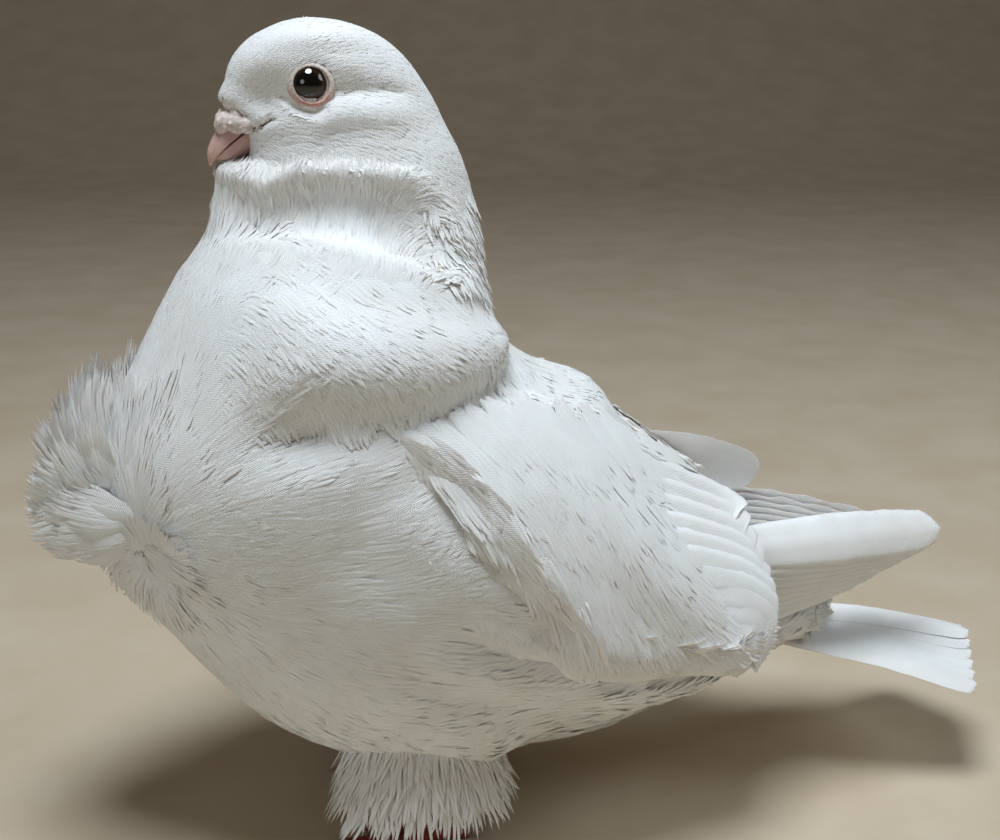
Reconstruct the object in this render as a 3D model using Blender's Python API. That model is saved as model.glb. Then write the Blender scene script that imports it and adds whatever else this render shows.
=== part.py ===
"""A white owl pigeon with a full frill, standing, life size and still.

The bird faces -X, its left side is -Y, and the soles rest on Z = 0.
Head, neck, breast, torso and tail are lengths of one lofted body, parted by thin flat cuts.
Each ring of that body lies between a point on the front or under outline and a point on the back outline.
Sizes are in millimetres until a mesh is made.
"""

import math
import random

import bmesh
import bpy
import numpy as np
from mathutils import Vector
from mathutils.bvhtree import BVHTree

MM = 0.001
GAP = 0.3
CUT_CLEARANCE = 0.34
SEAM_MERGE = 0.02
LOW_LIFT = 3.2

# Body outline: name, front x and z, back x and z, half width, and where the ring is widest,
# as a share from the front.
BODY = (
    ("crown", -58.9, 215.0, -58.9, 215.0, 0.0, 0.50),
    ("brow", -70.2, 212.4, -46.2, 212.2, 10.0, 0.50),
    ("forehead", -77.2, 207.4, -37.8, 206.5, 12.6, 0.50),
    ("eye", -80.2, 200.6, -31.2, 197.5, 13.8, 0.52),
    ("bill root", -79.6, 194.0, -27.2, 189.5, 15.2, 0.55),
    ("chin", -76.5, 187.0, -23.2, 181.5, 17.2, 0.55),
    ("throat", -76.0, 180.0, -20.2, 171.0, 20.5, 0.50),
    ("ruff", -79.0, 172.0, -18.7, 160.0, 25.0, 0.50),
    ("neck base", -83.5, 164.0, -17.2, 148.5, 31.5, 0.50),
    ("collar", -93.5, 152.0, -14.7, 139.0, 40.0, 0.50),
    ("crop", -106.5, 131.5, -9.7, 131.0, 46.0, 0.50),
    ("breast", -116.5, 109.0, -3.1, 126.5, 50.0, 0.50),
    ("keel", -115.5, 84.0, 4.0, 123.0, 51.0, 0.48),
    ("belly front", -99.0, 59.0, 12.2, 116.0, 50.0, 0.46),
    ("belly", -72.0, 35.5, 24.0, 105.5, 47.0, 0.46),
    ("thigh", -34.0, 20.0, 37.0, 94.0, 42.0, 0.50),
    ("vent front", 3.0, 18.0, 49.5, 82.0, 35.0, 0.50),
    ("vent", 32.0, 27.5, 61.0, 72.0, 26.0, 0.50),
    ("tail root", 56.0, 37.0, 72.5, 62.0, 18.0, 0.50),
    ("tail stump", 70.0, 42.0, 79.0, 56.0, 13.0, 0.50),
)
STATION = {row[0]: i for i, row in enumerate(BODY)}
TRACKS = np.array([row[1:] for row in BODY], float)
BODY_SIDES = 20

NECK_CUT = STATION["throat"] - 0.1
BREAST_CUT = STATION["neck base"] + 0.55
TORSO_CUT = STATION["keel"] + 0.5
TAIL_CUT = STATION["tail root"] + 0.1

MIRRORED = (("left", -1), ("right", 1))

EYE_CENTRE = (-61.0, 9.3, 200.4)
EYE_RADIUS = 5.0
LID_RING_RADIUS = 4.6
LID_THICKNESS = 0.8
GAPE = (-71.0, 193.0)

BILL_ROOT = Vector((-74.5, 0, 190.4))
BILL_TIP = Vector((-85.4, 0, 181.6))
BILL_UP = Vector((-0.63, 0, 0.777))
BILL_SIDES = 14
MOUTH_GAP = 0.36

FEET_X = {"left": -38.0, "right": -33.0}
FOOT_SPREAD = 21.0
TARSUS_RADIUS = 2.5
TOE_THICKNESS = 2.3


def clear_scene():
    for old in list(bpy.data.objects):
        bpy.data.objects.remove(old, do_unlink=True)


def eased(rows, t):
    """The row of values at t, on a smooth curve through the whole rows (Catmull-Rom)."""
    last = len(rows) - 1
    i = min(int(math.floor(t)), last - 1)
    f = t - i
    before, here, after, beyond = (rows[min(max(j, 0), last)] for j in (i - 1, i, i + 1, i + 2))
    slope_here = (after - before) / 2
    slope_after = (beyond - here) / 2
    return (
        (2 * f**3 - 3 * f**2 + 1) * here
        + (f**3 - 2 * f**2 + f) * slope_here
        + (3 * f**2 - 2 * f**3) * after
        + (f**3 - f**2) * slope_after
    )


def ring_frame(t):
    """Centre, front-to-back unit vector, half lengths to front and back, and half width at t."""
    if t < 1:
        # The crown is a rounded cap: its rings grow with the square root of the depth below the pole.
        fx, fz, bx, bz, wide, share = TRACKS[1]
        pole = Vector((TRACKS[0][0], 0, TRACKS[0][1]))
        front, back = Vector((fx, 0, fz)), Vector((bx, 0, bz))
        grow = math.sqrt(max(t, 1e-9))
        middle = (front + back) / 2
        centre = pole.lerp(middle, t)
        front, back = (centre + (p - middle) * grow for p in (front, back))
        wide *= grow
    else:
        fx, fz, bx, bz, wide, share = eased(TRACKS, t)
        front, back = Vector((fx, 0, fz)), Vector((bx, 0, bz))
    axis = back - front
    length = axis.length
    axis.normalize()
    centre = front + axis * (share * length)
    return centre, axis, share * length, (1 - share) * length, wide


def ring_normal(t):
    """Unit vector square to the ring's plane, towards higher t."""
    axis = ring_frame(t)[1]
    return Vector((0, 1, 0)).cross(axis)


def ring_point(t, angle, out=0.0):
    """Point on the body's surface: angle 0 is the front or under line, 180 the back, 90 the right side."""
    centre, axis, to_front, to_back, wide = ring_frame(t)
    c, s = math.cos(math.radians(angle)), math.sin(math.radians(angle))
    along = -c * ((to_front if c > 0 else to_back) + out)
    point = centre + axis * along + Vector((0, s * (wide + out), 0))
    return point + head_form(point)


def body_surface(t, angle):
    """The body's surface as the locks follow it, running on straight past the tail stump."""
    kept = min(max(t, 0.3), len(BODY) - 1.001)
    return ring_point(kept, angle) + Vector((14, 0, -4)) * (t - kept)


def bump(point, centre, radius):
    """Smooth weight, 1 at the centre and falling away over the radius; both sides of the bird get it."""
    offset = Vector((point.x - centre[0], abs(point.y) - centre[1], point.z - centre[2]))
    return math.exp(-(offset.length / radius) ** 2)


def head_form(point):
    """How far the plain loft is moved on the head: hollow lores and eye rims, full cheeks."""
    if point.z < 170:
        return Vector((0, 0, 0))
    side = math.copysign(1, point.y)
    hollow = 1.5 * bump(point, (-71.0, 10.0, 199.5), 5.5) + 0.7 * bump(point, (-61.0, 13.0, 201.6), 5.0)
    cheek = 1.2 * bump(point, (-58.0, 15.0, 190.0), 8.0)
    return Vector((0, side * (cheek - hollow), 0))


def new_object(name, points, faces):
    """Mesh object from points in millimetres."""
    mesh = bpy.data.meshes.new(name)
    mesh.from_pydata([Vector(p) * MM for p in points], [], faces)
    mesh.update()
    made = bpy.data.objects.new(name, mesh)
    bpy.context.scene.collection.objects.link(made)
    return made


def face_outwards(made):
    work = bmesh.new()
    work.from_mesh(made.data)
    bmesh.ops.recalc_face_normals(work, faces=work.faces)
    if work.calc_volume(signed=True) < 0:
        bmesh.ops.reverse_faces(work, faces=work.faces)
    work.to_mesh(made.data)
    work.free()
    return made


def tube(name, rings, pole_start=None, pole_end=None):
    """Closed solid through rings of equal count, its ends capped flat or drawn to a pole point."""
    sides = len(rings[0])
    points = [p for ring in rings for p in ring]
    faces = []
    for i in range(len(rings) - 1):
        for j in range(sides):
            a, b = i * sides + j, i * sides + (j + 1) % sides
            faces += [(a, b, b + sides), (a, b + sides, a + sides)]
    for pole, first in ((pole_start, 0), (pole_end, (len(rings) - 1) * sides)):
        ring = [first + j for j in range(sides)]
        if pole is None:
            faces.append(tuple(ring))
        else:
            points.append(pole)
            faces += [(ring[j], ring[(j + 1) % sides], len(points) - 1) for j in range(sides)]
    return face_outwards(new_object(name, points, faces))


def body_length(name, start, end, rings, sides=BODY_SIDES):
    """One length of the body from t start to t end, its cut faces half a gap short of the cut planes."""
    made, pole = [], None
    for i in range(rings + 1):
        share = i / rings
        t = start + (end - start) * share
        if start == 0:
            if i == 0:
                pole = Vector((TRACKS[0][0], 0, TRACKS[0][1]))
                continue
            t = end * share**1.5
        shift = Vector((0, 0, 0))
        if i == 0:
            shift = ring_normal(t) * (GAP / 2)
        elif i == rings and end < len(BODY) - 1:
            shift = ring_normal(t) * (-GAP / 2)
        made.append([ring_point(t, 360 * j / sides) + shift for j in range(sides)])
    return tube(name, made, pole_start=pole)


def sphere(name, centre, radius, segments=16, rings=10, squash=(1, 1, 1)):
    work = bmesh.new()
    bmesh.ops.create_uvsphere(work, u_segments=segments, v_segments=rings, radius=radius * MM)
    for v in work.verts:
        v.co = Vector(v.co[i] * squash[i] for i in range(3)) + Vector(centre) * MM
    mesh = bpy.data.meshes.new(name)
    work.to_mesh(mesh)
    work.free()
    made = bpy.data.objects.new(name, mesh)
    bpy.context.scene.collection.objects.link(made)
    return made


def grown(source, distance):
    """Copy of a solid with its surface moved out by distance, to cut a neighbour clear of it."""
    work = bmesh.new()
    work.from_mesh(source.data)
    work.normal_update()
    moved = [v.co + v.normal * (distance * MM) for v in work.verts]
    for v, co in zip(work.verts, moved):
        v.co = co
    mesh = bpy.data.meshes.new("clearance")
    work.to_mesh(mesh)
    work.free()
    made = bpy.data.objects.new("clearance", mesh)
    bpy.context.scene.collection.objects.link(made)
    return made


def apply_boolean(target, others, operation):
    """Joins or cuts the target with the others in one Boolean, then removes them."""
    group = bpy.data.collections.new("operands")
    bpy.context.scene.collection.children.link(group)
    for other in others:
        bpy.context.scene.collection.objects.unlink(other)
        group.objects.link(other)
    modifier = target.modifiers.new("Boolean", "BOOLEAN")
    modifier.operand_type = "COLLECTION"
    modifier.collection = group
    modifier.operation = operation
    modifier.solver = "MANIFOLD"
    bpy.context.view_layer.update()
    graph = bpy.context.evaluated_depsgraph_get()
    result = bpy.data.meshes.new_from_object(target.evaluated_get(graph))
    target.modifiers.clear()
    target.data = result
    for other in others:
        bpy.data.objects.remove(other, do_unlink=True)
    bpy.data.collections.remove(group)
    return keep_largest(target)


def keep_largest(made):
    """Drops every closed surface of the mesh but the one that spans the most."""
    work = bmesh.new()
    work.from_mesh(made.data)
    left = set(work.faces)
    shells = []
    while left:
        start = left.pop()
        shell, todo = [start], [start]
        while todo:
            for edge in todo.pop().edges:
                if len(edge.link_faces) != 2:
                    continue
                for face in edge.link_faces:
                    if face in left:
                        left.discard(face)
                        shell.append(face)
                        todo.append(face)
        shells.append(shell)

    def span(shell):
        corners = np.array([v.co for face in shell for v in face.verts])
        return float(np.prod(corners.max(0) - corners.min(0) + 1e-6))

    shells.sort(key=span)
    for shell in shells[:-1]:
        bmesh.ops.delete(work, geom=shell, context="FACES")
    work.to_mesh(made.data)
    work.free()
    return made


def settle(made):
    """Collapses the very short edges that a Boolean leaves where surfaces cross, if the skin stays closed."""
    work = bmesh.new()
    work.from_mesh(made.data)
    bmesh.ops.dissolve_degenerate(work, dist=SEAM_MERGE * MM, edges=work.edges)
    if all(edge.is_contiguous for edge in work.edges):
        work.to_mesh(made.data)
    work.free()
    return keep_largest(made)


def join(target, others):
    return apply_boolean(target, others, "UNION")


def cut(target, others):
    return apply_boolean(target, others, "DIFFERENCE")


def plain_copy(source, name):
    made = bpy.data.objects.new(name, source.data.copy())
    bpy.context.scene.collection.objects.link(made)
    return made


def mirrored_copy(source, name):
    """The same solid on the bird's other side."""
    made = plain_copy(source, name)
    for v in made.data.vertices:
        v.co.y = -v.co.y
    made.data.flip_normals()
    return made


def finish_name(made, name):
    made.name = name
    made.data.name = name
    return made


def follow(surface, u, v, heading, length, turn, stops):
    """Walks over a surface; notes its frame (point, onward, across, outward) at each stop.

    A heading of 0 runs along u and 90 along v; the turn is the change of heading over the whole walk.
    """
    frames = []
    done = 0.0
    for stop in stops:
        pieces = max(1, round((stop - done) * length / 2.5))
        for k in range(pieces + 1):
            here = surface(u, v)
            along_u = (surface(u + 0.02, v) - surface(u - 0.02, v)) / 0.04
            along_v = (surface(u, v + 0.02) - surface(u, v - 0.02)) / 0.04
            angle = math.radians(heading + turn * (done + (stop - done) * k / pieces))
            if k < pieces:
                step = (stop - done) * length / pieces
                u += math.cos(angle) * step / along_u.length
                v += math.sin(angle) * step / along_v.length
        onward = along_u.normalized() * math.cos(angle) + along_v.normalized() * math.sin(angle)
        onward = onward.normalized()
        outward = along_v.cross(along_u).normalized()
        frames.append((here, onward, onward.cross(outward), outward))
        done = stop
    return frames


# Each profile gives, for every ring: share of the length, share of the width, share of the thickness.
LEAF = ((0.0, 0.55, 1.0), (0.45, 1.0, 1.0), (0.85, 0.72, 0.6))
LOCK = ((0.0, 0.6, 1.0), (0.35, 1.0, 1.0), (0.7, 0.8, 0.75), (0.92, 0.36, 0.45))
VANE = ((0.0, 0.7, 1.0), (0.5, 1.0, 1.0), (0.9, 0.72, 0.6))


def make_lock(surface, side, extra, u, v, heading, length, width, lift, **form):
    """One feather lock: flat and arched, its root sunk in the body, its tip lifted off and maybe curled.

    A low lock is keeled, so that its underside stays in the body and only its edges stand free.
    Extra grows it all round, for the clearance that a neighbour is cut to.
    """
    profile = form.get("profile", LEAF)
    thick = form.get("thick", 0.65)
    curl = Vector(form.get("curl", (0, 0, 0)))
    sink = form.get("sink", 1.6)
    roll = math.radians(form.get("roll", 0))
    keeled = form.get("keel", lift < LOW_LIFT)
    stops = [row[0] for row in profile] + [1.0]
    frames = follow(surface, u, v, heading, length, form.get("turn", 0), stops)
    rises = [0.35 + lift * share**1.6 - (sink + 0.35) * (1 - share) ** 4 for share in stops]
    centres = [f[0] + f[3] * rise + curl * share**2.2 for share, f, rise in zip(stops, frames, rises)]
    rings = []
    for i, (share, wide, deep) in enumerate(profile):
        ahead = (centres[i + 1] - centres[max(i - 1, 0)]).normalized()
        across = frames[i][2]
        outward = across.cross(ahead).normalized()
        turned = roll * min(1, 0.35 + share)
        edge = across * math.cos(turned) + outward * math.sin(turned)
        outward = outward * math.cos(turned) - across * math.sin(turned)
        edge *= wide * width / 2 + extra
        ridge = centres[i] - outward * (0.07 * wide * width)
        top = centres[i] + outward * (deep * thick + extra)
        under = max(deep * thick, rises[i] + 0.9) if keeled else deep * thick
        bottom = centres[i] - outward * (under + extra)
        ring = [ridge + edge, top, ridge - edge, bottom]
        if extra:
            lip = outward * extra
            back = ahead * (extra if i == 0 else 0)
            left, right = ridge + edge, ridge - edge
            ring = [left + lip, top, right + lip, right - lip, bottom, left - lip]
            ring = [p - back for p in ring]
        rings.append(ring)
    tip = centres[-1] + (centres[-1] - centres[-2]).normalized() * extra
    if side < 0:
        rings = [[Vector((p.x, -p.y, p.z)) for p in ring] for ring in rings]
        tip = Vector((tip.x, -tip.y, tip.z))
    return tube("lock", rings, pole_end=tip)


def make_locks(surface, rows, extra=0.0):
    """Builds every row of (side, u, v, heading, length, width, lift, form).

    Extra grows them for a clearance.
    """
    return [make_lock(surface, side, extra, *numbers, **form) for side, *numbers, form in rows]


def jitter(rng, value, share):
    return value * rng.uniform(1 - share, 1 + share)


def bill_half(name, back, front, high, low, half_width, bow):
    """Half of the bill along its axis, from a share behind the root to a share short of the tip.

    High and low are measured square to the mouth line; the bow arches the half away from that line.
    """
    rings = []
    steps = 9
    for i in range(steps):
        f = i / (steps - 1)
        share = back + (front - back) * f
        point = BILL_ROOT.lerp(BILL_TIP, share)
        visible = max(0.0, share)
        taper = math.sqrt(max(0.0, 1 - visible**2.2)) * 0.9 + 0.1 * (1 - f) + 0.02
        hook = -0.9 * visible**4 if high > 0 else 0.0
        top, bottom, wide = high * taper, low * taper, half_width * taper
        centre = point + BILL_UP * ((top + bottom) / 2 + hook + bow * math.sin(math.pi * min(1, visible)))
        ring = []
        for j in range(BILL_SIDES):
            a = 2 * math.pi * j / BILL_SIDES
            raised = BILL_UP * (math.sin(a) * (top - bottom) / 2)
            ring.append(centre + raised + Vector((0, math.cos(a) * wide, 0)))
        rings.append(ring)
    return tube(name, rings)


def side_point(tree, x, z):
    """Point of the right side's surface at x and z."""
    hit = tree.ray_cast(Vector((x, 80, z)) * MM, Vector((0, -1, 0)))[0]
    return hit / MM


def surface_tree(made):
    work = bmesh.new()
    work.from_mesh(made.data)
    tree = BVHTree.FromBMesh(work)
    work.free()
    return tree


def round_bar(name, points, radii, sides=8):
    """Closed round bar along the points, its radius given at each, with pointed ends."""
    rings = []
    for i in range(1, len(points) - 1):
        direction = (points[i + 1] - points[i - 1]).normalized()
        across = direction.orthogonal().normalized()
        up = direction.cross(across)
        turned = [2 * math.pi * j / sides for j in range(sides)]
        rings.append([points[i] + (across * math.cos(a) + up * math.sin(a)) * radii[i] for a in turned])
    return tube(name, untwisted(rings), pole_start=points[0], pole_end=points[-1])


def untwisted(rings):
    """Turns each ring's start to lie nearest the ring before it, so that the skin doesn't twist."""
    made = [rings[0]]
    for ring in rings[1:]:
        count = len(ring)
        before = made[-1]

        def travel(k):
            return sum((ring[(j + k) % count] - before[j]).length for j in range(count))

        best = min(range(count), key=travel)
        made.append([ring[(j + best) % count] for j in range(count)])
    return made


def lid_ring(name, centre, major, minor, sides=16, around=5):
    """Rim of the eyelids: a ring facing outwards and a little forwards."""
    points, faces = [], []
    for i in range(sides):
        a = 2 * math.pi * i / sides
        out = Vector((math.cos(a) * 1.06, 0, math.sin(a) * 0.97))
        for j in range(around):
            b = 2 * math.pi * j / around
            spread = out * (major + minor * math.cos(b))
            points.append(centre + spread + Vector((0, 1.15 * minor * math.sin(b), 0)))
            k, n = (i + 1) % sides, (j + 1) % around
            faces.append((i * around + j, k * around + j, k * around + n, i * around + n))
    return face_outwards(new_object(name, points, faces))


def make_head():
    """Head with its lids, eye sockets and mouth corner, two eyes, and the plain head for clearances."""
    head = body_length("head", 0, NECK_CUT, 12, 24)
    core = plain_copy(head, "head core")
    tree = surface_tree(head)
    eyes, rims, sockets, corners = [], [], [], []
    for side_name, side in MIRRORED:
        centre = Vector((EYE_CENTRE[0], side * EYE_CENTRE[1], EYE_CENTRE[2]))
        surface = side_point(tree, EYE_CENTRE[0], EYE_CENTRE[2]).y
        rim_centre = Vector((EYE_CENTRE[0], side * (surface - 0.1), EYE_CENTRE[2]))
        rims.append(lid_ring("lids", rim_centre, LID_RING_RADIUS, LID_THICKNESS))
        sockets.append(sphere("socket", centre, EYE_RADIUS + GAP, 12, 8))
        eyes.append(sphere(f"eye_{side_name}", centre, EYE_RADIUS, 12, 8))
        line = []
        for f in (-0.35, -0.1, 0.2, 0.5, 0.8, 1.0):
            x = GAPE[0] - 7.0 * (1 - f)
            z = GAPE[1] - 4.6 * (1 - f)
            hit = side_point(tree, max(x, -75.5), z)
            line.append(Vector((x, side * (hit.y + 0.1), z)))
        corners.append(round_bar("mouth corner", line, [0, 0.62, 0.62, 0.55, 0.42, 0]))
    join(head, rims)
    cut(head, sockets + corners)
    return head, eyes, core


def make_bill(head_core):
    """Upper and lower bill, cut clear of the head, with the mouth line open, and the cere above."""
    upper = bill_half("bill_upper", -0.45, 1.0, 4.6, 0.0, 4.0, 0.25)
    lower = bill_half("bill_lower", -0.45, 0.84, -MOUTH_GAP, -3.4, 3.6, 0.0)
    cere = sphere("cere", (-79.4, 0, 194.4), 3.0, 8, 6, (0.95, 0.8, 0.9))
    bulges = []
    for _, side in MIRRORED:
        bulges.append(sphere("bulge", (-79.6, side * 2.3, 192.6), 2.9, 8, 6, (1.0, 0.85, 1.05)))
    join(cere, bulges)
    for piece in (upper, lower, cere):
        cut(piece, [grown(head_core, CUT_CLEARANCE)])
    nostrils = [
        sphere("nostril", (-80.6, side * 4.1, 189.9), 1.5, 8, 6, (1.1, 0.5, 0.35))
        for _, side in MIRRORED
    ]
    cut(lower, [grown(upper, CUT_CLEARANCE)])
    cut(cere, [grown(upper, CUT_CLEARANCE)])
    cut(upper, nostrils)
    return upper, lower, cere


def neck_lie(v):
    """Heading of the neck feathers: up the front and sides, swinging round to down at the nape."""
    return 180 - 165 * min(1, max(0, (v - 85) / 60))


def neck_rows():
    """Two tiers of ruff feathers with their tips lifted under the cheeks, and the tuft under the bill."""
    rng = random.Random(11)
    rows = []
    for side in (-1, 1):
        for u, first, length, width, lift in ((7.95, 10, 18, 19, 3.0), (7.2, 26, 15, 18, 3.8)):
            for i in range(5):
                v = first + 33 * i
                if v > 172:
                    continue
                start = u - 0.8 * max(0, (v - 100) / 80)
                form = {"profile": LEAF, "thick": 0.7, "turn": 25 * math.sin(math.radians(v))}
                size = (jitter(rng, length, 0.1), jitter(rng, width, 0.08), jitter(rng, lift, 0.2))
                rows.append((side, start, v, neck_lie(v), *size, form))
        for u, v, length in ((6.9, 9, 11), (6.7, 26, 12)):
            form = {"profile": LEAF, "thick": 0.65, "curl": (-1.5, 0.5, 0)}
            rows.append((side, u, v, 180, length, 10, 3.0, form))
    return rows


def breast_rows():
    """Collar, shoulder lobe, smooth breast, curled frill edge and side whorl."""
    rng = random.Random(23)
    rows = []
    for side in (-1, 1):
        for i in range(3):
            form = {"profile": LEAF, "thick": 0.65}
            length = jitter(rng, 15, 0.1)
            width = jitter(rng, 21, 0.08)
            rows.append((side, 9.45, 13 + 31 * i, 180, length, width, 2.6, form))
        for tier, (u, first, length) in enumerate(((9.3, 54, 24), (9.95, 66, 26))):
            for i in range(4):
                v = first + 33 * i
                back = max(0, (v - 95) / 80)
                form = {"profile": LEAF, "thick": 0.75, "turn": -18}
                size = (jitter(rng, length, 0.08), jitter(rng, 21, 0.06), 4.6 - 2.2 * back)
                rows.append((side, u, v, 48 - 40 * back, *size, form))
        for u, first in ((10.4, 42), (11.4, 48)):
            for i in range(2):
                v = first + 32 * i
                form = {"profile": LEAF, "thick": 0.7}
                rows.append((side, u, v, 10 + 0.3 * v, jitter(rng, 33, 0.08), 23, 1.6 + 2.2 * i, form))
        # Frill edge beside the front line: u, v, heading, length, width, lift, and how the tips curl.
        edge = (
            (10.45, 12, 174, 17, 14, 3.4, (-2, 1, 0)),
            (10.9, 27, 165, 19, 15, 4.0, (-4, 3, 1)),
            (11.25, 8, 172, 19, 15, 6.0, (-5, 2, 2)),
            (11.55, 26, 155, 18, 16, 6.0, (-6, 4, 0)),
            (11.85, 8, 165, 19, 15, 9.5, (-10, 2, 1)),
            (12.15, 9, 120, 17, 15, 9.0, (-13, 2, 4)),
            (12.4, 17, 60, 15, 14, 4.4, (-3, 2, 1)),
        )
        for u, v, heading, length, width, lift, curl in edge:
            bent = tuple(jitter(rng, c, 0.2) for c in curl)
            form = {"profile": LOCK, "thick": 0.75, "curl": bent, "roll": 70 - 1.4 * v}
            long = jitter(rng, length, 0.08)
            rows.append((side, u, v, heading, long, width, jitter(rng, lift, 0.12), form))
        for i in range(4):
            heading = 20 + 360 * i / 4
            centre_v = 37 + 4 * math.sin(math.radians(heading))
            centre_u = 11.95 + 0.06 * math.cos(math.radians(heading))
            form = {"profile": LEAF, "thick": 0.7}
            length = jitter(rng, 15, 0.1)
            rows.append((side, centre_u, centre_v, heading, length, 12, jitter(rng, 4.2, 0.12), form))
    return rows


def torso_rows():
    """Belly lobe under the breast, flank and vent feathers, and the saddle between the wings."""
    rng = random.Random(37)
    rows = []
    for side in (-1, 1):
        # u, v, heading, length, width, lift: first the lobe along the belly,
        # then the flank over the wing's edge.
        for u, v, heading, length, width, lift in (
            (12.72, 18, 4, 32, 22, 1.8),
            (12.8, 46, 6, 34, 22, 2.2),
            (13.55, 32, 3, 37, 24, 3.0),
            (14.3, 30, 2, 40, 18, 5.0),
            (12.75, 72, 22, 28, 18, 6.0),
            (13.4, 62, 20, 29, 18, 6.0),
            (14.1, 62, 16, 30, 18, 6.2),
            (14.8, 60, 13, 30, 17, 5.6),
            (15.4, 58, 11, 29, 17, 4.6),
            (16.1, 54, 8, 27, 16, 3.6),
            (15.9, 26, 2, 34, 20, 3.0),
            (17.1, 50, 4, 22, 15, 2.6),
        ):
            form = {"profile": LEAF, "thick": 0.75}
            turned = heading + rng.uniform(-3, 3)
            rows.append((side, u, v, turned, jitter(rng, length, 0.06), width, lift, form))
        for u, v in ((13.5, 166), (16.0, 164)):
            rows.append((side, u, v, 0, 34, 19, 1.4, {"profile": LEAF, "thick": 0.6}))
    return rows


# Wing outline: top x, y, z, bottom x, y, z, how far the outside bulges and how deep the inside goes.
WING = np.array(
    (
        (-58, 40, 112, -56, 46, 96, 2, 14),
        (-50, 42, 124, -48, 52, 84, 5, 22),
        (-34, 38, 128, -30, 54, 75, 7, 24),
        (-12, 30, 127, -8, 53, 69, 8, 22),
        (8, 22, 119, 12, 51, 63, 9, 18),
        (27, 16, 107, 32, 46, 58, 8, 12),
        (42, 13, 96, 46, 41, 56, 5, 7),
        (52, 12, 90, 55, 36, 57, 2, 2),
    ),
    float,
)


def wing_surface(u, v):
    """Outer side of the wing: u from the shoulder to 1 at the coverts' end, v from 0 below to 1."""
    kept = min(max(u, 0.0), 1.0)
    row = eased(WING, (len(WING) - 1) * kept)
    top, bottom, bulge = Vector(row[0:3]), Vector(row[3:6]), row[6]
    past = Vector((90, -18, -20)) * (u - kept)
    return bottom.lerp(top, v) + Vector((0, bulge * math.sin(math.pi * v), 0)) + past


def wing_core():
    rings = []
    for i in range(9):
        u = i / 8
        row = eased(WING, (len(WING) - 1) * u)
        top, bottom, depth = Vector(row[0:3]), Vector(row[3:6]), row[7]
        shares = [j / 5 for j in range(6)]
        outer = [wing_surface(u, v) + Vector((0, 0.4, 0)) for v in shares]
        inner = [bottom.lerp(top, v) - Vector((0, depth * math.sin(math.pi * v) + 0.4, 0)) for v in shares]
        rings.append(outer + inner[::-1])
    return tube("wing_right", rings)


def curved_vane(name, points, widths, facing, thick, extra=0.0):
    """Long flight feather along a smooth curve through the points, its flat side towards facing."""
    curve = np.array([tuple(p) for p in points], float)
    stops = (0.0, 0.45, 0.88)
    centres = [Vector(eased(curve, (len(curve) - 1) * stop)) for stop in stops]
    tip = Vector(curve[-1])
    rings = []
    for i, stop in enumerate(stops):
        ahead = ((centres + [tip])[i + 1] - centres[max(i - 1, 0)]).normalized()
        across = ahead.cross(facing).normalized()
        up = across.cross(ahead).normalized()
        width = float(np.interp(stop, np.linspace(0, 1, len(widths)), widths)) / 2 + extra
        deep = thick * (1 - 0.45 * stop) / 2 + extra
        droop = up * (0.12 * width)
        here = centres[i]
        edge = across * width
        rings.append([here + edge - droop, here + up * deep, here - edge - droop, here - up * deep])
    return tube(name, rings, pole_end=tip)


def wing_vanes():
    """Primaries stepping to the wing tip, secondaries and tertials over them, then three tiers of coverts."""
    vanes = []
    for i in range(4):
        root = Vector((34 + 2 * i, 35 - 1.5 * i, 66.5 + 4.0 * i))
        middle = Vector((74 - 3 * i, 21.5 + 0.3 * i, 68 + 4.1 * i))
        tip = Vector((111 - 10 * i, 10.2 + 1.4 * i, 74.2 + 2.4 * i))
        widths = (11, 13, 12, 10, 5)
        vanes.append(curved_vane("primary", (root, middle, tip), widths, Vector((0.25, 1, 0.25)), 1.3))
    # Secondary tips step down the wing's rear edge: tip x, y, z for each, from the lowest up.
    for i, (x, y, z) in enumerate(((52, 37, 60.5), (61, 33.5, 67.5), (62, 30, 76), (59, 26, 85))):
        root = wing_surface(0.62, 0.1 + 0.2 * i) + Vector((0, -2.6, 0))
        middle = wing_surface(0.86, 0.14 + 0.2 * i) + Vector((0, 0.5 + 0.1 * i, 0))
        widths = (10, 15, 15, 12, 6)
        tip = Vector((x, y + 1.0, z))
        vanes.append(curved_vane("secondary", (root, middle, tip), widths, Vector((0.2, 1, 0.3)), 1.4))
    for i, (x, y, z) in enumerate(((65, 18, 88), (54, 16, 96))):
        root = wing_surface(0.5, 0.84 + 0.09 * i) + Vector((0, -2.6, 0))
        middle = wing_surface(0.8, 0.88 + 0.08 * i) + Vector((0, 1.2, 0.6))
        tip = Vector((x, y, z))
        widths = (9, 13, 14, 11, 5)
        vanes.append(curved_vane("tertial", (root, middle, tip), widths, Vector((0, 1, 0.8)), 1.5))
    rng = random.Random(5)
    rows = []
    for u, count, length, width in ((0.5, 3, 31, 19), (0.31, 3, 30, 18), (0.12, 2, 28, 20)):
        for i in range(count):
            v = 0.1 + 0.8 * (i + 0.5 * (count % 2)) / count
            form = {"profile": VANE, "thick": 0.65}
            heading = jitter(rng, -7, 0.3)
            long = jitter(rng, length, 0.08)
            rows.append((1, u + 0.02 * (count - i), v, heading, long, width, 1.1, form))
    return vanes + make_locks(wing_surface, rows)


def loose_tertial():
    """The far wing's raised feather, whose round end shows over the near wing."""
    points = (Vector((28, 22, 97)), Vector((49, 18.5, 93.5)), Vector((69, 15, 84.5)))
    return curved_vane("loose tertial", points, (9, 13, 14, 13, 9), Vector((0, 1, 0.35)), 1.4)


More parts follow.
